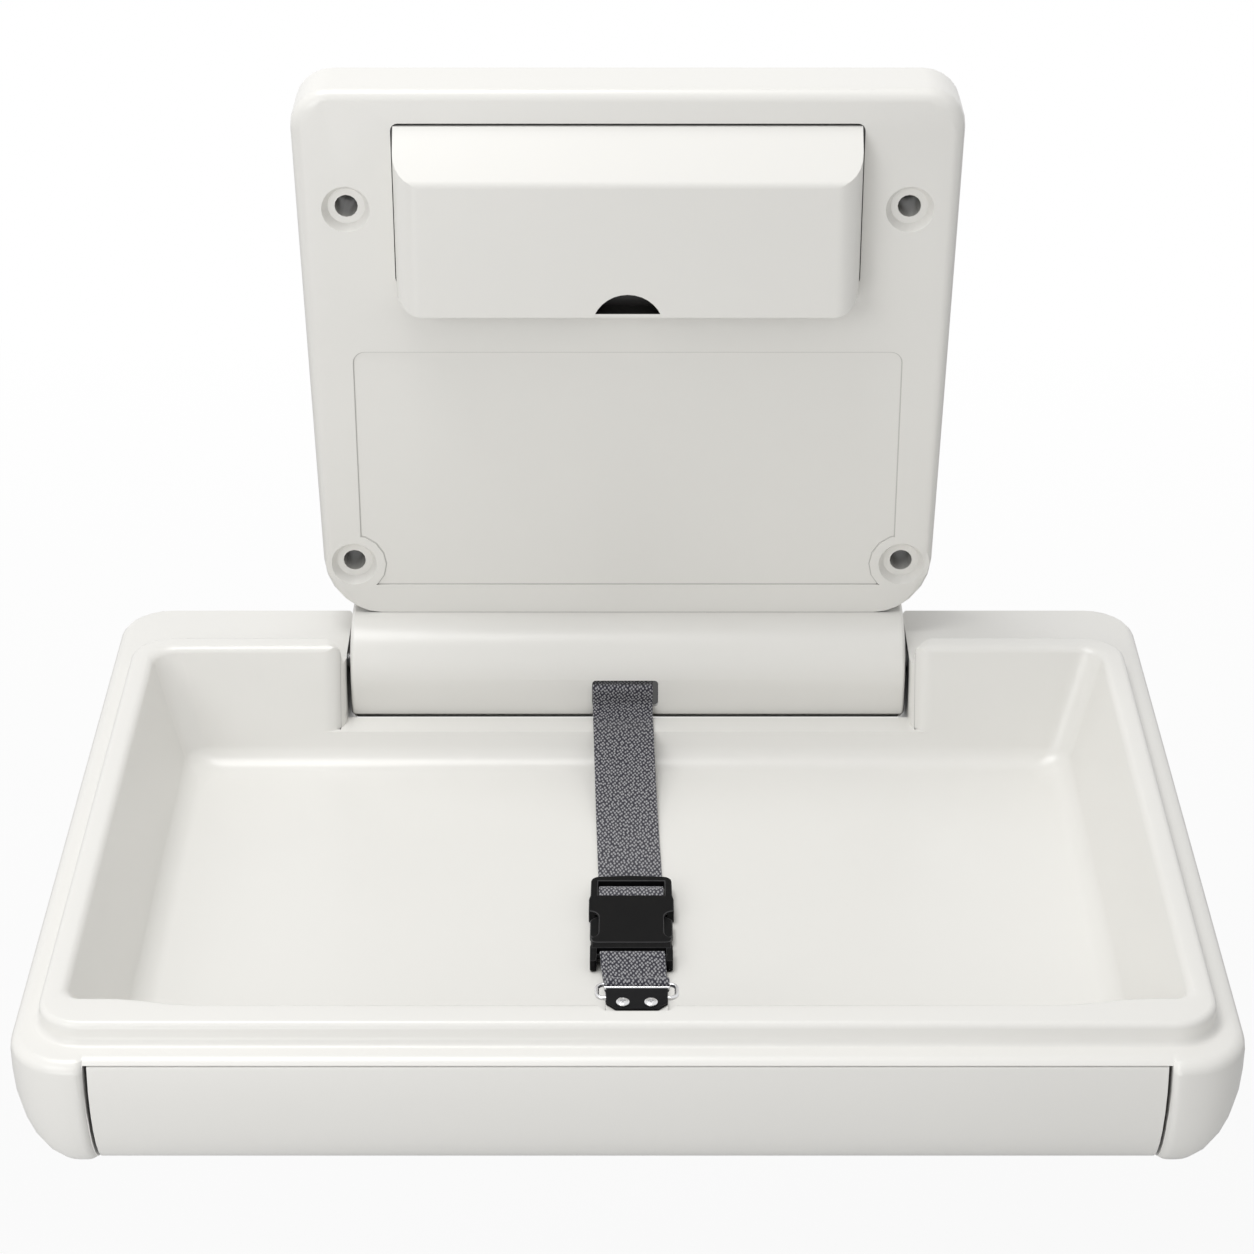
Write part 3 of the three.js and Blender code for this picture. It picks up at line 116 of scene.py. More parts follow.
def smooth_piece(name, shape, body, material, keep=38.0):
    """Turns a bmesh into a smooth-shaded piece that rides on a body."""
    bmesh.ops.triangulate(shape, faces=[f for f in shape.faces if len(f.verts) > 4])
    mesh = bpy.data.meshes.new(name)
    shape.to_mesh(mesh)
    shape.free()
    mesh.shade_smooth()
    mesh.set_sharp_from_angle(angle=math.radians(keep))
    piece = linked(name, mesh)
    normals = piece.modifiers.new("face_weighted_normals", "WEIGHTED_NORMAL")
    normals.keep_sharp = True
    normals.weight = 90
    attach(piece, body)
    paint(piece, material)
    return piece


def moulded(node, edge, body, material, crease=32.0):
    """A soft-edged copy of a CAD node, which it replaces."""
    shape = merged_copy(node)
    soften(shape, sharp_edges(shape, crease), edge)
    piece = smooth_piece(node + "_moulded", shape, body, material)
    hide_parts(node)
    return piece


def surface_group():
    """Colour drift, patchy gloss and fine orange peel of a moulded, coated or plated skin."""
    group = bpy.data.node_groups.new("surface_skin", "ShaderNodeTree")
    ends = group.interface
    ends.new_socket("Color", in_out="INPUT", socket_type="NodeSocketColor")
    for value in ("Drift", "Gloss", "Patch", "Peel", "Grain"):
        ends.new_socket(value, in_out="INPUT", socket_type="NodeSocketFloat")
    ends.new_socket("Color", in_out="OUTPUT", socket_type="NodeSocketColor")
    ends.new_socket("Roughness", in_out="OUTPUT", socket_type="NodeSocketFloat")
    ends.new_socket("Normal", in_out="OUTPUT", socket_type="NodeSocketVector")
    make = group.nodes.new
    link = group.links.new
    inputs = make("NodeGroupInput")
    outputs = make("NodeGroupOutput")
    place = make("ShaderNodeTexCoord")
    clouds = make("ShaderNodeTexNoise")
    clouds.inputs["Scale"].default_value = 5.0
    clouds.inputs["Detail"].default_value = 3.0
    link(place.outputs["Object"], clouds.inputs["Vector"])
    shift = make("ShaderNodeMath")
    shift.operation = "SUBTRACT"
    shift.inputs[1].default_value = 0.5
    link(clouds.outputs["Fac"], shift.inputs[0])
    tone = make("ShaderNodeMath")
    tone.operation = "MULTIPLY_ADD"
    tone.inputs[2].default_value = 1.0
    link(shift.outputs[0], tone.inputs[0])
    link(inputs.outputs["Drift"], tone.inputs[1])
    tint = make("ShaderNodeHueSaturation")
    link(tone.outputs[0], tint.inputs["Value"])
    link(inputs.outputs["Color"], tint.inputs["Color"])
    link(tint.outputs["Color"], outputs.inputs["Color"])
    smears = make("ShaderNodeTexNoise")
    smears.inputs["Scale"].default_value = 24.0
    smears.inputs["Detail"].default_value = 4.0
    link(place.outputs["Object"], smears.inputs["Vector"])
    patch = make("ShaderNodeMath")
    patch.operation = "SUBTRACT"
    patch.inputs[1].default_value = 0.5
    link(smears.outputs["Fac"], patch.inputs[0])
    gloss = make("ShaderNodeMath")
    gloss.operation = "MULTIPLY_ADD"
    gloss.use_clamp = True
    link(patch.outputs[0], gloss.inputs[0])
    link(inputs.outputs["Patch"], gloss.inputs[1])
    link(inputs.outputs["Gloss"], gloss.inputs[2])
    link(gloss.outputs[0], outputs.inputs["Roughness"])
    peel = make("ShaderNodeTexNoise")
    peel.inputs["Detail"].default_value = 2.0
    link(place.outputs["Object"], peel.inputs["Vector"])
    link(inputs.outputs["Grain"], peel.inputs["Scale"])
    bump = make("ShaderNodeBump")
    bump.inputs["Distance"].default_value = 0.0004
    link(inputs.outputs["Peel"], bump.inputs["Strength"])
    link(peel.outputs["Fac"], bump.inputs["Height"])
    link(bump.outputs["Normal"], outputs.inputs["Normal"])
    return group


surface_skin = surface_group()


def finish(name, color, drift, gloss, patch, peel, grain, metallic=0.0, shine=0.5):
    """A material whose colour, gloss and grain come from the shared surface skin."""
    material = bpy.data.materials.new(name)
    material.use_nodes = True
    tree = material.node_tree
    shader = tree.nodes["Principled BSDF"]
    shader.inputs["Metallic"].default_value = metallic
    shader.inputs["Specular IOR Level"].default_value = shine
    skin = tree.nodes.new("ShaderNodeGroup")
    skin.node_tree = surface_skin
    skin.inputs["Color"].default_value = color
    skin.inputs["Drift"].default_value = drift
    skin.inputs["Gloss"].default_value = gloss
    skin.inputs["Patch"].default_value = patch
    skin.inputs["Peel"].default_value = peel
    skin.inputs["Grain"].default_value = grain
    for socket, target in (("Color", "Base Color"), ("Roughness", "Roughness"), ("Normal", "Normal")):
        tree.links.new(skin.outputs[socket], shader.inputs[target])
    return material


def add_painted_shade(material, reach, painted_shade):
    """Painted shade: darkens the narrow gaps between mouldings, where shade falls, and faces that a piece marks for
    painted shade.
    """
    tree = material.node_tree
    target = tree.nodes["Principled BSDF"].inputs["Base Color"]
    unshaded = target.links[0].from_socket
    openness = tree.nodes.new("ShaderNodeAmbientOcclusion")
    openness.samples = 8
    openness.inputs["Distance"].default_value = reach
    limits = tree.nodes.new("ShaderNodeMapRange")
    limits.inputs["From Min"].default_value = 0.12
    limits.inputs["From Max"].default_value = 0.40
    marked = tree.nodes.new("ShaderNodeAttribute")
    marked.attribute_name = "painted_shade"
    unmarked = tree.nodes.new("ShaderNodeMath")
    unmarked.operation = "SUBTRACT"
    unmarked.inputs[0].default_value = 1.0
    share = tree.nodes.new("ShaderNodeMath")
    share.operation = "MULTIPLY"
    blend = tree.nodes.new("ShaderNodeMix")
    blend.data_type = "RGBA"
    blend.inputs[6].default_value = painted_shade
    tree.links.new(openness.outputs["AO"], limits.inputs["Value"])
    tree.links.new(marked.outputs["Fac"], unmarked.inputs[1])
    tree.links.new(limits.outputs["Result"], share.inputs[0])
    tree.links.new(unmarked.outputs[0], share.inputs[1])
    tree.links.new(share.outputs[0], blend.inputs["Factor"])
    tree.links.new(unshaded, blend.inputs[7])
    tree.links.new(blend.outputs[2], target)


def in_recess(face):
    """Whether a face is the floor of the panel's shallow recess."""
    middle = face.calc_center_median()
    inside = abs(middle.x) < RECESS_HALF and RECESS_LOW < middle.z < RECESS_HIGH
    return inside and RECESS_FLOOR_FRONT < middle.y < RECESS_BACK


def in_recess_outline(edge):
    """Whether an edge belongs to the step round the panel's shallow recess."""
    return all(RECESS_FRONT < v.co.y < RECESS_BACK and RECESS_LOW < v.co.z < RECESS_HIGH for v in edge.verts)


white_plastic = finish("white_moulded_plastic", PLASTIC_WHITE, 0.03, 0.30, 0.08, 0.05, 700.0)
# Painted shade on the white plastic: narrow gaps and marked faces are darkened towards a near-black.
add_painted_shade(white_plastic, JOINT_REACH, GAP_SHADE_COLOUR)
panel_shape = merged_copy("wall_panel")
panel_shade = panel_shape.faces.layers.float.new("painted_shade")
panel_edges = sharp_edges(panel_shape, 32.0)
soften(panel_shape, [e for e in panel_edges if not in_recess_outline(e)], PANEL_EDGE)
soften(panel_shape, [e for e in sharp_edges(panel_shape, 60.0) if in_recess_outline(e)], RECESS_EDGE, segments=2)
# Painted shadow: a thin strip of the recess floor along its step is darkened.
recess_floor = [f for f in panel_shape.faces if f.normal.y < -0.99 and in_recess(f)]
recess_line = bmesh.ops.inset_region(
    panel_shape, faces=recess_floor, thickness=RECESS_LINE, use_even_offset=True
)["faces"]
for face in recess_line:
    face[panel_shade] = RECESS_SHADOW
# Painted shade: the faces of the four screw bores are darkened, more where they face down.
for face in panel_shape.faces:
    middle = face.calc_center_median()
    if middle.y > BORE_FRONT and any(math.dist((middle.x, middle.z), hole) < BORE_RADIUS for hole in WALL_HOLES):
        face[panel_shade] = BORE_SHADE - BORE_SHADE_FALL * face.normal.z
panel = smooth_piece("wall_panel_moulded", panel_shape, "wall_unit", white_plastic)
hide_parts("wall_panel")


# Steel chassis and hinge: a zinc-plated plate on the wall whose two ears carry bronze bushes. The
# bed's plated shafts turn in them, each slowed by a black rotary damper inside the barrel.
zinc_steel = finish("zinc_plated_steel", (0.40, 0.41, 0.42, 1.0), 0.35, 0.40, 0.35, 0.10, 160.0, 1.0)
bright_steel = finish("bright_plated_steel", (0.72, 0.72, 0.73, 1.0), 0.06, 0.20, 0.12, 0.03, 900.0, 1.0)
bronze = finish("sintered_bronze", (0.42, 0.29, 0.14, 1.0), 0.20, 0.45, 0.20, 0.25, 1800.0, 1.0)
RIM_HIGHLIGHT_GREY = (0.060, 0.060, 0.062, 1.0)


def add_painted_highlight_rims(material):
    """Paler edges as a painted highlight, on faces that a piece marks for it."""
    tree = material.node_tree
    target = tree.nodes["Principled BSDF"].inputs["Base Color"]
    fresh = target.links[0].from_socket
    marked = tree.nodes.new("ShaderNodeAttribute")
    marked.attribute_name = "painted_highlight"
    blend = tree.nodes.new("ShaderNodeMix")
    blend.data_type = "RGBA"
    blend.inputs[7].default_value = RIM_HIGHLIGHT_GREY
    tree.links.new(marked.outputs["Fac"], blend.inputs["Factor"])
    tree.links.new(fresh, blend.inputs[6])
    tree.links.new(blend.outputs[2], target)


black_plastic = finish("black_moulded_plastic", (0.005, 0.005, 0.0055, 1.0), 0.15, 0.36, 0.12, 0.10, 1500.0, shine=0.07)
# Painted highlight: marked rims of the black plastic are paler.
add_painted_highlight_rims(black_plastic)
for node, material in (
    ("mounting_chassis", zinc_steel),
    ("hinge_arm_left", zinc_steel),
    ("hinge_arm_right", zinc_steel),
    ("hinge_bush_left", bronze),
    ("hinge_bush_right", bronze),
    ("hinge_shaft_left", bright_steel),
    ("hinge_shaft_right", bright_steel),
    ("hinge_damper_left", black_plastic),
    ("hinge_damper_right", black_plastic),
    ("strap_anchor_bar", bright_steel),
):
    paint(nodes[node], material)


# Hinge cover: a moulded barrel below the panel that hides the hinge, with a slot for the strap. Its
# inside and the underside of its front edge are painted dark as shade.
HINGE_Y = -0.055
HINGE_Z = -0.255
BARREL_EDGE = 0.0010
BARREL_NOSE = HINGE_Z - 0.0262
BARREL_UNDER = -0.080
BARREL_END = 0.2325


def mark_barrel_shade(shape):
    """Marks for painted shade the faces that look at the hinge axis and those below the barrel's front edge."""
    painted_shade = shape.faces.layers.float.new("painted_shade")
    for face in shape.faces:
        middle = face.calc_center_median()
        spoke = Vector((0.0, middle.y - HINGE_Y, middle.z - HINGE_Z))
        inward = face.normal.dot(spoke.normalized()) < -0.5
        under = middle.z < BARREL_NOSE and middle.y < BARREL_UNDER
        if abs(middle.x) < BARREL_END and (inward or under):
            face[painted_shade] = 1.0


barrel_shape = merged_copy("hinge_cover")
soften(barrel_shape, sharp_edges(barrel_shape, 40.0), BARREL_EDGE)
mark_barrel_shade(barrel_shape)
barrel = smooth_piece("hinge_cover_moulded", barrel_shape, "wall_unit", white_plastic)
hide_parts("hinge_cover")


# Liner dispenser: a moulded bin behind the panel and a thin hood that tilts forward on two pins.
# Its floor runs on below the finger notch with a thin rib behind, and both are painted dark as shade seen through the
# notch.
COVER_EDGE = 0.0010
COVER_FLOOR = 0.110
COVER_FRONT = -0.0902
NOTCH_FLOOR = ((-0.0270, COVER_FRONT, 0.0820), (0.0270, -0.0710, 0.0850))
NOTCH_RIB = ((-0.0340, -0.0720, 0.0850), (0.0340, -0.0700, 0.1080))
paint(nodes["liner_bin"], white_plastic)
for node in ("cover_pivot_left", "cover_pivot_right"):
    paint(nodes[node], bright_steel)
hood_shape = merged_copy("dispenser_cover")
soften(hood_shape, sharp_edges(hood_shape, 32.0), COVER_EDGE)
for corners in (NOTCH_FLOOR, NOTCH_RIB):
    low, high = (Vector(corner) for corner in corners)
    place = Matrix.Translation((low + high) / 2) @ Matrix.Diagonal((high - low).to_4d())
    bmesh.ops.create_cube(hood_shape, size=1.0, matrix=place)
hood_shape.normal_update()
# Painted shade: the rib and the upward faces inside the hood are darkened.
hood_shade = hood_shape.faces.layers.float.new("painted_shade")
for face in hood_shape.faces:
    middle = face.calc_center_median()
    rib = abs(middle.x) < NOTCH_RIB[1][0] + 0.0001 and NOTCH_RIB[0][1] - 0.0001 < middle.y < NOTCH_RIB[1][1] + 0.0001
    inside = middle.y > COVER_FRONT and face.normal.z > 0.2
    if NOTCH_RIB[0][2] - 0.0001 < middle.z < COVER_FLOOR and (rib or inside):
        face[hood_shade] = 1.0
hood = smooth_piece("dispenser_cover_moulded", hood_shape, "cover", white_plastic)
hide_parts("dispenser_cover")


# Bed: a moulded tray with a ledge, lip, sloped basin and side rails, closed from below by a second
# moulding that rolls up as its front. Rubber buffers stop it against the wall.
TRAY_EDGE = 0.0022
SHELL_EDGE = 0.0022
SHELL_CUT = 0.3700
SHELL_HALF = 0.3770
BUFFER_EDGE = 0.0010
moulded("bed_tray", TRAY_EDGE, "bed", white_plastic)


def square_ends(shape, cut, length):
    """Cuts both ends off a shape and runs its section out straight again to its full length."""
    for side in (1, -1):
        bmesh.ops.bisect_plane(
            shape,
            geom=shape.verts[:] + shape.edges[:] + shape.faces[:],
            plane_co=(side * cut, 0.0, 0.0),
            plane_no=(side, 0.0, 0.0),
            clear_outer=True,
        )
        section = [e for e in shape.edges if e.is_boundary]
        run = bmesh.ops.extrude_edge_only(shape, edges=section)["geom"]
        tips = [v for v in run if isinstance(v, bmesh.types.BMVert)]
        bmesh.ops.translate(shape, verts=tips, vec=(side * (length - cut), 0.0, 0.0))
        rim = [e for e in run if isinstance(e, bmesh.types.BMEdge) and all(v in tips for v in e.verts)]
        bmesh.ops.edgenet_fill(shape, edges=rim)
    bmesh.ops.recalc_face_normals(shape, faces=shape.faces)


shell_shape = merged_copy("bed_lower_shell")
square_ends(shell_shape, SHELL_CUT, SHELL_HALF)
soften(shell_shape, sharp_edges(shell_shape, 32.0), SHELL_EDGE)
shell = smooth_piece("bed_lower_shell_moulded", shell_shape, "bed", white_plastic)
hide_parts("bed_lower_shell")
rubber = finish("black_rubber", (0.014, 0.014, 0.014, 1.0), 0.20, 0.72, 0.10, 0.25, 900.0)
for node in ("bed_buffer_left", "bed_buffer_right"):
    moulded(node, BUFFER_EDGE, "bed", rubber)


# Pan-head screws: six hold the lower shell from below and two hold the strap bracket. Each is a
# plated steel head with a cross recess on a plain shank.
RECESS_ARM = 0.0021
RECESS_WAIST = 0.0006
RECESS_DEPTH = 0.0012
HEAD_STEPS = 6


def cross_recess(shape, height):
    """The cross-shaped socket of a screw head, open upwards, with its upper rim returned."""
    corners = []
    for quarter in range(4):
        turn = Matrix.Rotation(quarter * math.pi / 2, 4, "Z")
        for x, y in ((RECESS_ARM, -RECESS_WAIST), (RECESS_ARM, RECESS_WAIST), (RECESS_WAIST, RECESS_WAIST)):
            corners.append(shape.verts.new(turn @ Vector((x, y, height))))
    rim = [shape.edges.new((corners[i - 1], corners[i])) for i in range(len(corners))]
    walls = bmesh.ops.extrude_edge_only(shape, edges=rim)["geom"]
    floor = [v for v in walls if isinstance(v, bmesh.types.BMVert)]
    bmesh.ops.translate(shape, verts=floor, vec=(0.0, 0.0, -RECESS_DEPTH))
    bmesh.ops.contextual_create(shape, geom=[e for e in walls if isinstance(e, bmesh.types.BMEdge)
                                             and all(v in floor for v in e.verts)])
    return rim


def pan_screw(node, seat, down, head, dome, shank, length, material):
    """A screw that replaces a CAD node: its seat is the place under the head, down the drive way."""
    shape = bmesh.new()
    rim = cross_recess(shape, dome)
    rings = []
    for step in range(HEAD_STEPS + 1):
        angle = math.radians(24.0) + step * math.radians(66.0) / HEAD_STEPS
        radius = head * math.sin(angle)
        height = dome * (0.35 + 0.65 * math.cos(angle)) if step < HEAD_STEPS else dome * 0.30
        rings.append((radius, height))
    rings += [(head, 0.0), (shank, 0.0), (shank, -length)]
    upper = rim
    for radius, height in rings:
        place = Matrix.Translation((0.0, 0.0, height))
        circle = bmesh.ops.create_circle(shape, segments=24, radius=radius, matrix=place)
        edges = list({e for v in circle["verts"] for e in v.link_edges})
        bmesh.ops.bridge_loops(shape, edges=upper + edges)
        upper = edges
    bmesh.ops.contextual_create(shape, geom=upper)
    bmesh.ops.recalc_face_normals(shape, faces=shape.faces)
    if down:
        bmesh.ops.rotate(shape, verts=shape.verts, cent=(0, 0, 0), matrix=Matrix.Rotation(math.pi, 3, "X"))
    bmesh.ops.translate(shape, verts=shape.verts, vec=seat)
    piece = smooth_piece(node + "_pan", shape, "bed", material, keep=42.0)
    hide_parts(node)


def node_box(node):
    corners = [Vector(v.co) for v in nodes[node].data.vertices]
    low = Vector([min(c[i] for c in corners) for i in range(3)])
    high = Vector([max(c[i] for c in corners) for i in range(3)])
    return low, high


for number in range(1, 7):
    low, high = node_box(f"shell_screw_{number}")
    middle = (low + high) / 2
    head_height = 0.0026
    seat = (middle.x, middle.y, low.z + head_height)
    pan_screw(f"shell_screw_{number}", seat, True, 0.0043, head_height, 0.0019, 0.0175, zinc_steel)


# Strap bracket: a black coated steel plate in the pocket of the front lip, held by two screws. Its
# rear edge is rolled round a bright rod, over which the strap turns.
BRACKET_EDGE = 0.0004
black_steel = finish("black_coated_steel", (0.004, 0.004, 0.005, 1.0), 0.15, 0.38, 0.15, 0.08, 1300.0, shine=0.10)
add_painted_highlight_rims(black_steel)
SHOULDER_INNER = 0.0150
SHOULDER_OUTER = 0.0222
SHOULDER_REAR = -0.6030
SHOULDER_FRONT = -0.6300
SHOULDER_TOP = -0.2209
SHOULDER_DROP = 0.0080
BRACKET_MIDDLE = 0.0065
for side, name in ((-1, "strap_shoulder_left"), (1, "strap_shoulder_right")):
    shoulder = bmesh.new()
    bmesh.ops.create_cube(shoulder, size=1.0)
    size = (SHOULDER_OUTER - SHOULDER_INNER, SHOULDER_REAR - SHOULDER_FRONT, SHOULDER_DROP)
    bmesh.ops.scale(shoulder, verts=shoulder.verts, vec=size)
    place = (
        BRACKET_MIDDLE + side * (SHOULDER_OUTER + SHOULDER_INNER) / 2,
        (SHOULDER_REAR + SHOULDER_FRONT) / 2,
        SHOULDER_TOP - SHOULDER_DROP / 2,
    )
    bmesh.ops.translate(shoulder, verts=shoulder.verts, vec=place)
    soften(shoulder, shoulder.edges[:], 0.0010)
    smooth_piece(name, shoulder, "bed", white_plastic)
BRACKET_CORNER = -0.6125
BRACKET_TRIM = 0.0040
bracket_shape = merged_copy("strap_bracket")
for vert in bracket_shape.verts:
    if vert.co.y < BRACKET_CORNER:
        vert.co.y += BRACKET_TRIM
# Painted highlight: the rounded rims of the bracket are marked to show paler.
bracket_rim = bracket_shape.faces.layers.float.new("painted_highlight")
for face in soften(bracket_shape, sharp_edges(bracket_shape, 32.0), BRACKET_EDGE):
    face[bracket_rim] = 1.0
bracket = smooth_piece("strap_bracket_moulded", bracket_shape, "bed", black_steel)
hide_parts("strap_bracket")
bracket_low, bracket_high = node_box("strap_bracket")
HEM_RADIUS = 0.00138
HEM_LENGTH = 0.0472
hem_shape = bmesh.new()
bmesh.ops.create_circle(hem_shape, cap_ends=True, segments=20, radius=HEM_RADIUS)
hem_end = bmesh.ops.extrude_face_region(hem_shape, geom=hem_shape.faces[:])["geom"]
hem_tip = [v for v in hem_end if isinstance(v, bmesh.types.BMVert)]
bmesh.ops.translate(hem_shape, verts=hem_tip, vec=(0.0, 0.0, HEM_LENGTH))
bmesh.ops.translate(hem_shape, verts=hem_shape.verts, vec=(0.0, 0.0, -HEM_LENGTH / 2))
bmesh.ops.recalc_face_normals(hem_shape, faces=hem_shape.faces)
soften(hem_shape, sharp_edges(hem_shape, 60.0), 0.0004)
bmesh.ops.rotate(hem_shape, verts=hem_shape.verts, cent=(0, 0, 0), matrix=Matrix.Rotation(math.pi / 2, 3, "Y"))
hem_place = ((bracket_low.x + bracket_high.x) / 2, bracket_high.y - HEM_RADIUS, bracket_high.z - HEM_RADIUS)
bmesh.ops.translate(hem_shape, verts=hem_shape.verts, vec=hem_place)
smooth_piece("strap_bracket_hem", hem_shape, "bed", bright_steel)
for node in ("strap_screw_left", "strap_screw_right"):
    low, high = node_box(node)
    middle = (low + high) / 2
    seat = (middle.x, middle.y, high.z - 0.0022)
    pan_screw(node, seat, False, 0.0049, 0.0022, 0.0019, 0.0108, bright_steel)


# Strap ring: a loop of plated wire that swings under the bracket and carries the lower strap.
RING_WIRE = 0.0016
RING_BEND = 0.005
RING_BEND_STEPS = 8
ring_low, ring_high = node_box("strap_ring")


def wire_ring():
    """A wire loop: a circle run along each straight and spun round each corner in turn."""
    shape = bmesh.new()
    middle = (ring_low + ring_high) / 2
    half = (ring_high - ring_low) / 2
    across = half.x - RING_WIRE - RING_BEND
    along = half.y - RING_WIRE - RING_BEND
    start = Matrix.Translation((middle.x - across, ring_low.y + RING_WIRE, middle.z))
    section = Matrix.Rotation(math.pi / 2, 4, "Y")
    bmesh.ops.create_circle(shape, segments=16, radius=RING_WIRE, matrix=start @ section)
    loop = shape.edges[:]
    for side in range(4):
        turn = Matrix.Rotation(side * math.pi / 2, 3, "Z")
        run = bmesh.ops.extrude_edge_only(shape, edges=loop)["geom"]
        ends = [v for v in run if isinstance(v, bmesh.types.BMVert)]
        straight = 2 * (along if side % 2 else across)
        bmesh.ops.translate(shape, verts=ends, vec=turn @ Vector((straight, 0.0, 0.0)))
        loop = [e for e in run if isinstance(e, bmesh.types.BMEdge) and all(v in ends for v in e.verts)]
        corner = turn @ Vector((along if side % 2 else across, -(across if side % 2 else along), 0.0))
        spun = bmesh.ops.spin(
            shape, geom=loop, cent=middle + corner, axis=(0, 0, 1), angle=math.pi / 2, steps=RING_BEND_STEPS
        )
        loop = [e for e in spun["geom_last"] if isinstance(e, bmesh.types.BMEdge)]
    bmesh.ops.remove_doubles(shape, verts=shape.verts, dist=1e-5)
    bmesh.ops.recalc_face_normals(shape, faces=shape.faces)
    return shape


ring = smooth_piece("strap_ring_wire", wire_ring(), "ring", bright_steel, keep=80.0)
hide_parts("strap_ring")


# Side-release buckle: a black acetal socket on the upper strap takes a plug on the lower strap.
# The plug's two sprung arms show as tabs in the socket's side windows.
SOCKET_EDGE = 0.0013
PLUG_EDGE = 0.0009
BUCKLE_LINES = (
    (-0.3300, -0.3300),
    (-0.3400, -0.3396),
    (-0.3520, -0.3600),
    (-0.3760, -0.3830),
    (-0.4120, -0.4180),
    (-0.4250, -0.4250),
    (-0.4300, -0.4318),
    (-0.4600, -0.4520),
)


def buckle_piece(node, edge, body):
    """A copy of a buckle node with a longer strap window, later side openings and shorter legs."""
    shape = merged_copy(node)
    for vert in shape.verts:
        for (rear, new_rear), (front, new_front) in zip(BUCKLE_LINES, BUCKLE_LINES[1:]):
            if front < vert.co.y <= rear:
                vert.co.y = new_rear + (new_front - new_rear) * (vert.co.y - rear) / (front - rear)
                break
    # Painted highlight: the rounded rims of the buckle parts are marked to show paler.
    rim = shape.faces.layers.float.new("painted_highlight")
    for face in soften(shape, sharp_edges(shape, 32.0), edge):
        face[rim] = 1.0
    piece = smooth_piece(node + "_moulded", shape, body, black_plastic)
    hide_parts(node)


buckle_piece("buckle_socket", SOCKET_EDGE, "bed")
buckle_piece("buckle_plug", PLUG_EDGE, "bed")
buckle_piece("buckle_release_left", PLUG_EDGE, "release_left")
buckle_piece("buckle_release_right", PLUG_EDGE, "release_right")


# Safety strap: 50 mm polyester webbing in two lengths. The upper one is sewn round the bar in the
# barrel, leaves by the slot and runs over the ridge and the floor to the socket.
BARREL_RADIUS = 0.048
RIDGE_BACK = -0.10854
RIDGE_EDGE = -0.13245
RIDGE_Z = HINGE_Z - 0.0248
FLOOR_Z = HINGE_Z - 0.050
WEB_WIDTH = 0.0508
WEB_THICK = 0.0018
WEB_LIFT = 0.0005
WEB_ROW = 10
WEB_STEP = 0.003
LAID_WEAVE = 0.55
SAG_END = 0.060
SAG_POINTS = 12
SLOT_X = -0.0042
BUCKLE_X = 0.0028
BAR_Y = -0.070
BAR_Z = HINGE_Z - 0.0047
BAR_RADIUS = 0.004
BUCKLE_REAR = -0.333
BUCKLE_MID = FLOOR_Z + 0.0062


def smooth_route(points):
    """A route of even steps on a smooth curve through (y, z) points."""
    ends = [2 * points[0] - points[1]] + points + [2 * points[-1] - points[-2]]
    route = []
    for i in range(1, len(ends) - 2):
        before, here, there, after = ends[i - 1:i + 3]
        steps = max(2, math.ceil((there - here).length / WEB_STEP))
        for k in range(steps):
            t = k / steps
            bend = 2 * before - 5 * here + 4 * there - after
            twist = 3 * here - before - 3 * there + after
            route.append(here + 0.5 * t * ((there - before) + t * (bend + t * twist)))
    return route + [points[-1]]


def webbing(name, route, centre, width, closed=False):
    """A strip of webbing along a (y, z) route, with its weave map in metres."""
    shape = bmesh.new()
    along = shape.verts.layers.float.new("along")
    across = shape.verts.layers.float.new("across")
    weave = shape.loops.layers.uv.new("weave")
    row = []
    for k in range(WEB_ROW + 1):
        vert = shape.verts.new((0.0, route[0].x, route[0].y))
        vert[across] = k / WEB_ROW - 0.5
        row.append(vert)
    edges = [shape.edges.new((row[k], row[k + 1])) for k in range(WEB_ROW)]
    first = edges
    travelled = 0.0
    woven = 0.0
    for i in range(1, len(route)):
        step = route[i] - route[i - 1]
        travelled += step.length
        woven += LAID_WEAVE * abs(step.x) + abs(step.y)
        grown = bmesh.ops.extrude_edge_only(shape, edges=edges)["geom"]
        verts = [v for v in grown if isinstance(v, bmesh.types.BMVert)]
        edges = [e for e in grown if isinstance(e, bmesh.types.BMEdge) and all(v in verts for v in e.verts)]
        for vert in verts:
            vert.co = (0.0, route[i].x, route[i].y)
            vert[along] = woven
    if closed:
        bmesh.ops.bridge_loops(shape, edges=edges + first)
    for vert in shape.verts:
        vert.co.x = centre(vert.co.y) + vert[across] * width(vert.co)
    for face in shape.faces:
        for loop in face.loops:
            loop[weave].uv = (loop.vert[across] * WEB_WIDTH, loop.vert[along])
    bmesh.ops.recalc_face_normals(shape, faces=shape.faces)
    mesh = bpy.data.meshes.new(name)
    shape.to_mesh(mesh)
    shape.free()
    mesh.shade_smooth()
    piece = linked(name, mesh)
    wall = piece.modifiers.new("webbing_thickness", "SOLIDIFY")
    wall.thickness = WEB_THICK
    wall.offset = 0.0
    selvedge = piece.modifiers.new("selvedge", "BEVEL")
    selvedge.width = 0.0005
    selvedge.segments = 2
    selvedge.limit_method = "ANGLE"
    selvedge.angle_limit = math.radians(60)
    return piece, travelled


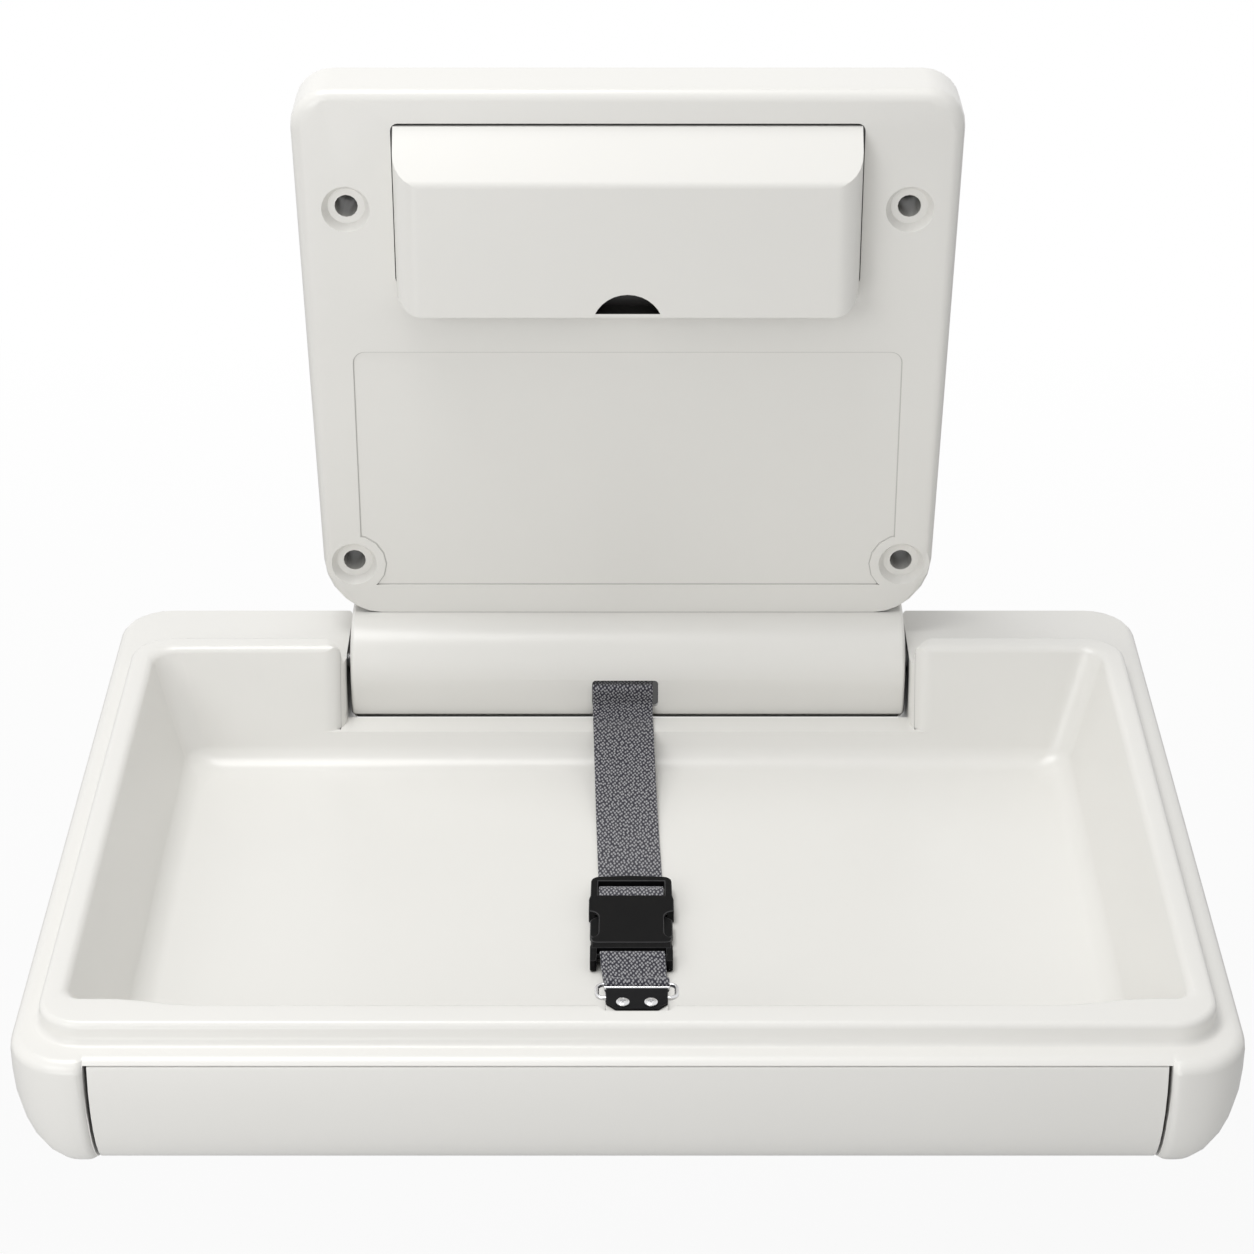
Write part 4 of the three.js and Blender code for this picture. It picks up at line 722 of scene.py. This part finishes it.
def webbing_material():
    """Pale pebbles of thread on a dark ground, in slanting rows."""
    material = bpy.data.materials.new("grey_webbing")
    material.use_nodes = True
    tree = material.node_tree
    make = tree.nodes.new
    link = tree.links.new
    shader = tree.nodes["Principled BSDF"]
    shader.inputs["Sheen Weight"].default_value = 0.25
    shader.inputs["Roughness"].default_value = 0.85
    weave = make("ShaderNodeUVMap")
    weave.uv_map = "weave"
    pitch = make("ShaderNodeMapping")
    pitch.inputs["Rotation"].default_value = (0.0, 0.0, math.radians(38.0))
    pitch.inputs["Scale"].default_value = (440.0, 400.0, 1.0)
    link(weave.outputs["UV"], pitch.inputs["Vector"])
    pebbles = make("ShaderNodeTexVoronoi")
    pebbles.voronoi_dimensions = "2D"
    pebbles.inputs["Scale"].default_value = 1.0
    pebbles.inputs["Randomness"].default_value = 0.42
    link(pitch.outputs["Vector"], pebbles.inputs["Vector"])
    shade = make("ShaderNodeValToRGB")
    shade.color_ramp.elements[0].position = 0.19
    shade.color_ramp.elements[0].color = (0.36, 0.36, 0.375, 1.0)
    shade.color_ramp.elements[1].position = 0.43
    shade.color_ramp.elements[1].color = (0.016, 0.015, 0.026, 1.0)
    link(pebbles.outputs["Distance"], shade.inputs["Fac"])
    link(shade.outputs["Color"], shader.inputs["Base Color"])
    bump = make("ShaderNodeBump")
    bump.invert = True
    bump.inputs["Strength"].default_value = 0.6
    bump.inputs["Distance"].default_value = 0.0006
    link(pebbles.outputs["Distance"], bump.inputs["Height"])
    link(bump.outputs["Normal"], shader.inputs["Normal"])
    return material


grey_webbing = webbing_material()
on_ridge = RIDGE_Z + WEB_LIFT + WEB_THICK / 2
on_floor = FLOOR_Z + WEB_LIFT + WEB_THICK / 2
hug = BARREL_RADIUS + WEB_LIFT + WEB_THICK
eye = BAR_RADIUS + 0.0003 + WEB_THICK / 2
round_bar = [
    Vector((BAR_Y + eye * math.cos(math.radians(a)), BAR_Z + eye * math.sin(math.radians(a))))
    for a in (255, 300, 345, 30, 75, 115)
]
hang = [Vector((HINGE_Y - hug, HINGE_Z - drop)) for drop in (0.001, 0.007, 0.013)]
sag_start = Vector((RIDGE_EDGE - 0.005, on_ridge - 0.0014))
sag_run = BUCKLE_REAR + SAG_END - sag_start.x
sag = []
for k in range(SAG_POINTS + 1):
    share = k / SAG_POINTS
    height = on_floor + (sag_start.y - on_floor) * (1 - share) ** 2
    sag.append(Vector((sag_start.x + sag_run * share, height)))
upper_route = smooth_route([
    *round_bar,
    Vector((BAR_Y - 0.012, BAR_Z + 0.0060)),
    Vector((BAR_Y - 0.024, BAR_Z + 0.0066)),
    Vector((HINGE_Y - hug + 0.0050, HINGE_Z + 0.0026)),
    Vector((HINGE_Y - hug + 0.0018, HINGE_Z + 0.0025)),
    Vector((HINGE_Y - hug + 0.0002, HINGE_Z + 0.0010)),
    *hang,
    Vector((RIDGE_BACK - 0.0014, on_ridge + 0.0031)),
    Vector((RIDGE_BACK - 0.0084, on_ridge + 0.0004)),
    Vector((RIDGE_BACK - 0.0194, on_ridge)),
    Vector((RIDGE_EDGE + 0.001, on_ridge)),
    *sag,
    Vector((BUCKLE_REAR + 0.008, on_floor)),
    Vector((BUCKLE_REAR - 0.003, on_floor + 0.0002)),
    Vector((BUCKLE_REAR - 0.007, on_floor + 0.0009)),
    Vector((BUCKLE_REAR - 0.0095, BUCKLE_MID + 0.0008)),
    Vector((BUCKLE_REAR - 0.0130, BUCKLE_MID + 0.0028)),
    Vector((BUCKLE_REAR - 0.0180, BUCKLE_MID + 0.0036)),
    Vector((BUCKLE_REAR - 0.0262, BUCKLE_MID + 0.0036)),
])
drift_run = BUCKLE_REAR - 0.017 - RIDGE_BACK


def upper_centre(y):
    share = min(max((y - RIDGE_BACK) / drift_run, 0.0), 1.0)
    return SLOT_X + (BUCKLE_X - SLOT_X) * share


upper_strap, upper_length = webbing("upper_webbing", upper_route, upper_centre, lambda place: WEB_WIDTH)
paint(upper_strap, grey_webbing)
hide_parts("upper_strap", "anchor_webbing")
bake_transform(upper_strap)


# The lower length is a sewn loop: doubled webbing from the plug's bar along the floor and up to
# the ring under the bracket.
PLUG_BAR_Y = -0.437
PLUG_EYE = 0.0027 + WEB_THICK / 2
RING_EYE = 0.0034 + WEB_THICK / 2
PLUG_X = BUCKLE_X + 0.0007
RING_X = (ring_low.x + ring_high.x) / 2
RING_Z = (ring_low.z + ring_high.z) / 2
RING_Y = ring_high.y - RING_WIRE
LAYER = WEB_THICK / 2 + 0.0001
STRAIGHT_Y = -0.475
NARROW = 0.0030
GATHER = 0.0055


def lower_loop():
    low = FLOOR_Z + WEB_LIFT + WEB_THICK
    middle = [
        Vector((PLUG_BAR_Y - 0.013, BUCKLE_MID - 0.0014)),
        Vector((PLUG_BAR_Y - 0.022, low + 0.0008)),
        Vector((PLUG_BAR_Y - 0.034, low)),
        Vector((RING_Y + 0.060, low)),
        Vector((RING_Y + 0.018, low)),
        Vector((RING_Y + 0.009, low + 0.0016)),
        Vector((RING_Y + 0.003, low + 0.0065)),
        Vector((RING_Y + 0.0005, low + 0.014)),
        Vector((RING_Y, low + 0.030)),
        Vector((RING_Y, RING_Z - RING_EYE - 0.010)),
    ]
    sides = {1: [], -1: []}
    for i, point in enumerate(middle):
        heading = middle[min(i + 1, len(middle) - 1)] - middle[max(i - 1, 0)]
        normal = Vector((heading.y, -heading.x)).normalized()
        for side in sides:
            sides[side].append(point + side * LAYER * normal)
    at_ring = [
        Vector((RING_Y + RING_EYE * math.cos(math.radians(a)), RING_Z + RING_EYE * math.sin(math.radians(a))))
        for a in (200, 160, 120, 90, 60, 20, -20)
    ]
    at_plug = [
        Vector((PLUG_BAR_Y + PLUG_EYE * math.cos(math.radians(a)), BUCKLE_MID + PLUG_EYE * math.sin(math.radians(a))))
        for a in (250, 290, 330, 0, 30, 70, 110)
    ]
    lower = sides[1] if sides[1][3].y < sides[-1][3].y else sides[-1]
    upper = sides[-1] if lower is sides[1] else sides[1]
    return smooth_route([*at_plug, *upper, *reversed(at_ring), *reversed(lower)])


def lower_centre(y):
    share = min(max((y - PLUG_BAR_Y) / (STRAIGHT_Y - PLUG_BAR_Y), 0.0), 1.0)
    return PLUG_X + (RING_X - PLUG_X) * share


def lower_width(place):
    rise = min(max((place.z - RING_Z + 0.030) / 0.020, 0.0), 1.0)
    below_ring = min(max((RING_Z - 0.0020 - place.z) / 0.006, 0.0), 1.0)
    above_floor = min(max((place.z - FLOOR_Z - 0.016) / 0.020, 0.0), 1.0)
    on_floor_end = min(max((PLUG_BAR_Y - 0.012 - place.y) / 0.030, 0.0), 1.0)
    return WEB_WIDTH - 0.001 - NARROW * max(rise, on_floor_end) - GATHER * below_ring * above_floor


lower_strap, lower_length = webbing("lower_webbing", lower_loop(), lower_centre, lower_width, closed=True)
paint(lower_strap, grey_webbing)
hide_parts("lower_strap")
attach(lower_strap, "bed")


# Camera, floor and studio light.
CAMERA_PITCH = math.radians(29.0)
camera_data = bpy.data.cameras.new("camera")
camera_data.sensor_width = 36.0
camera_data.lens = 36.0 * 3278.0 / 1254.0
camera_data.shift_x = -0.0006
camera = bpy.data.objects.new("camera", camera_data)
bpy.context.scene.collection.objects.link(camera)
camera.location = (0.0, -2.5115, 1.3952 + HINGE_Z)
camera.rotation_euler = (math.pi / 2 - CAMERA_PITCH, 0.0, 0.0)
bpy.context.scene.camera = camera

FLOOR_LEVEL = -1.05
floor_shape = bmesh.new()
bmesh.ops.create_grid(floor_shape, x_segments=2, y_segments=2, size=3.0)
bmesh.ops.translate(floor_shape, verts=floor_shape.verts, vec=(0.0, 0.0, FLOOR_LEVEL))
floor_mesh = bpy.data.meshes.new("floor")
floor_shape.to_mesh(floor_mesh)
floor_shape.free()
floor = linked("floor", floor_mesh)
floor_material = bpy.data.materials.new("white_floor")
floor_material.use_nodes = True
floor_tree = floor_material.node_tree
floor_out = floor_tree.nodes["Material Output"]
floor_body = floor_tree.nodes["Principled BSDF"]
floor_body.inputs["Base Color"].default_value = (0.62, 0.62, 0.62, 1.0)
floor_body.inputs["Roughness"].default_value = 0.9
floor_glow = floor_tree.nodes.new("ShaderNodeEmission")
floor_path = floor_tree.nodes.new("ShaderNodeLightPath")
floor_place = floor_tree.nodes.new("ShaderNodeTexCoord")
floor_depth = floor_tree.nodes.new("ShaderNodeSeparateXYZ")
floor_fade = floor_tree.nodes.new("ShaderNodeMapRange")
floor_fade.inputs["From Min"].default_value = 0.2
floor_fade.inputs["From Max"].default_value = 2.4
floor_fade.inputs["To Min"].default_value = 0.90
floor_fade.inputs["To Max"].default_value = 1.0
floor_share = floor_tree.nodes.new("ShaderNodeMath")
floor_share.operation = "MULTIPLY"
floor_mix = floor_tree.nodes.new("ShaderNodeMixShader")
floor_tree.links.new(floor_place.outputs["Object"], floor_depth.inputs[0])
floor_tree.links.new(floor_depth.outputs["Y"], floor_fade.inputs["Value"])
floor_tree.links.new(floor_path.outputs["Is Camera Ray"], floor_share.inputs[0])
floor_tree.links.new(floor_fade.outputs["Result"], floor_share.inputs[1])
floor_tree.links.new(floor_share.outputs[0], floor_mix.inputs["Fac"])
floor_tree.links.new(floor_body.outputs[0], floor_mix.inputs[1])
floor_tree.links.new(floor_glow.outputs[0], floor_mix.inputs[2])
floor_tree.links.new(floor_mix.outputs[0], floor_out.inputs["Surface"])
paint(floor, floor_material)

world = bpy.data.worlds.new("studio")
world.use_nodes = True
bpy.context.scene.world = world
sky = world.node_tree.nodes
sky.clear()
out = sky.new("ShaderNodeOutputWorld")
mix = sky.new("ShaderNodeMixShader")
ambient = sky.new("ShaderNodeBackground")
ambient.inputs["Color"].default_value = (1.0, 1.0, 1.0, 1.0)
ambient.inputs["Strength"].default_value = 0.54
white = sky.new("ShaderNodeBackground")
white.inputs["Color"].default_value = (1.0, 1.0, 1.0, 1.0)
white.inputs["Strength"].default_value = 1.0
path = sky.new("ShaderNodeLightPath")
sees = sky.new("ShaderNodeMath")
sees.operation = "MAXIMUM"
seen = sky.new("ShaderNodeMath")
seen.operation = "MAXIMUM"
wire = world.node_tree.links.new
wire(path.outputs["Is Camera Ray"], sees.inputs[0])
wire(path.outputs["Is Glossy Ray"], sees.inputs[1])
wire(sees.outputs[0], seen.inputs[0])
wire(path.outputs["Is Transmission Ray"], seen.inputs[1])
wire(seen.outputs[0], mix.inputs["Fac"])
wire(ambient.outputs[0], mix.inputs[1])
wire(white.outputs[0], mix.inputs[2])
wire(mix.outputs[0], out.inputs["Surface"])


def softbox(name, place, aim, size, power):
    data = bpy.data.lights.new(name, "AREA")
    data.shape = "RECTANGLE"
    data.size, data.size_y = size
    data.energy = power
    lamp = bpy.data.objects.new(name, data)
    bpy.context.scene.collection.objects.link(lamp)
    lamp.location = place
    lamp.rotation_euler = (Vector(aim) - Vector(place)).to_track_quat("-Z", "Y").to_euler()


softbox("top_light", (-0.75, -0.15, 3.2), (0.0, -0.35, -0.2), (1.8, 1.5), 58.0)
softbox("front_light", (-1.5, -2.4, 1.1), (0.0, -0.4, -0.2), (1.2, 1.2), 14.5)
softbox("low_fill", (-0.8, -2.6, -0.45), (0.0, -0.6, -0.3), (1.4, 0.8), 9.0)
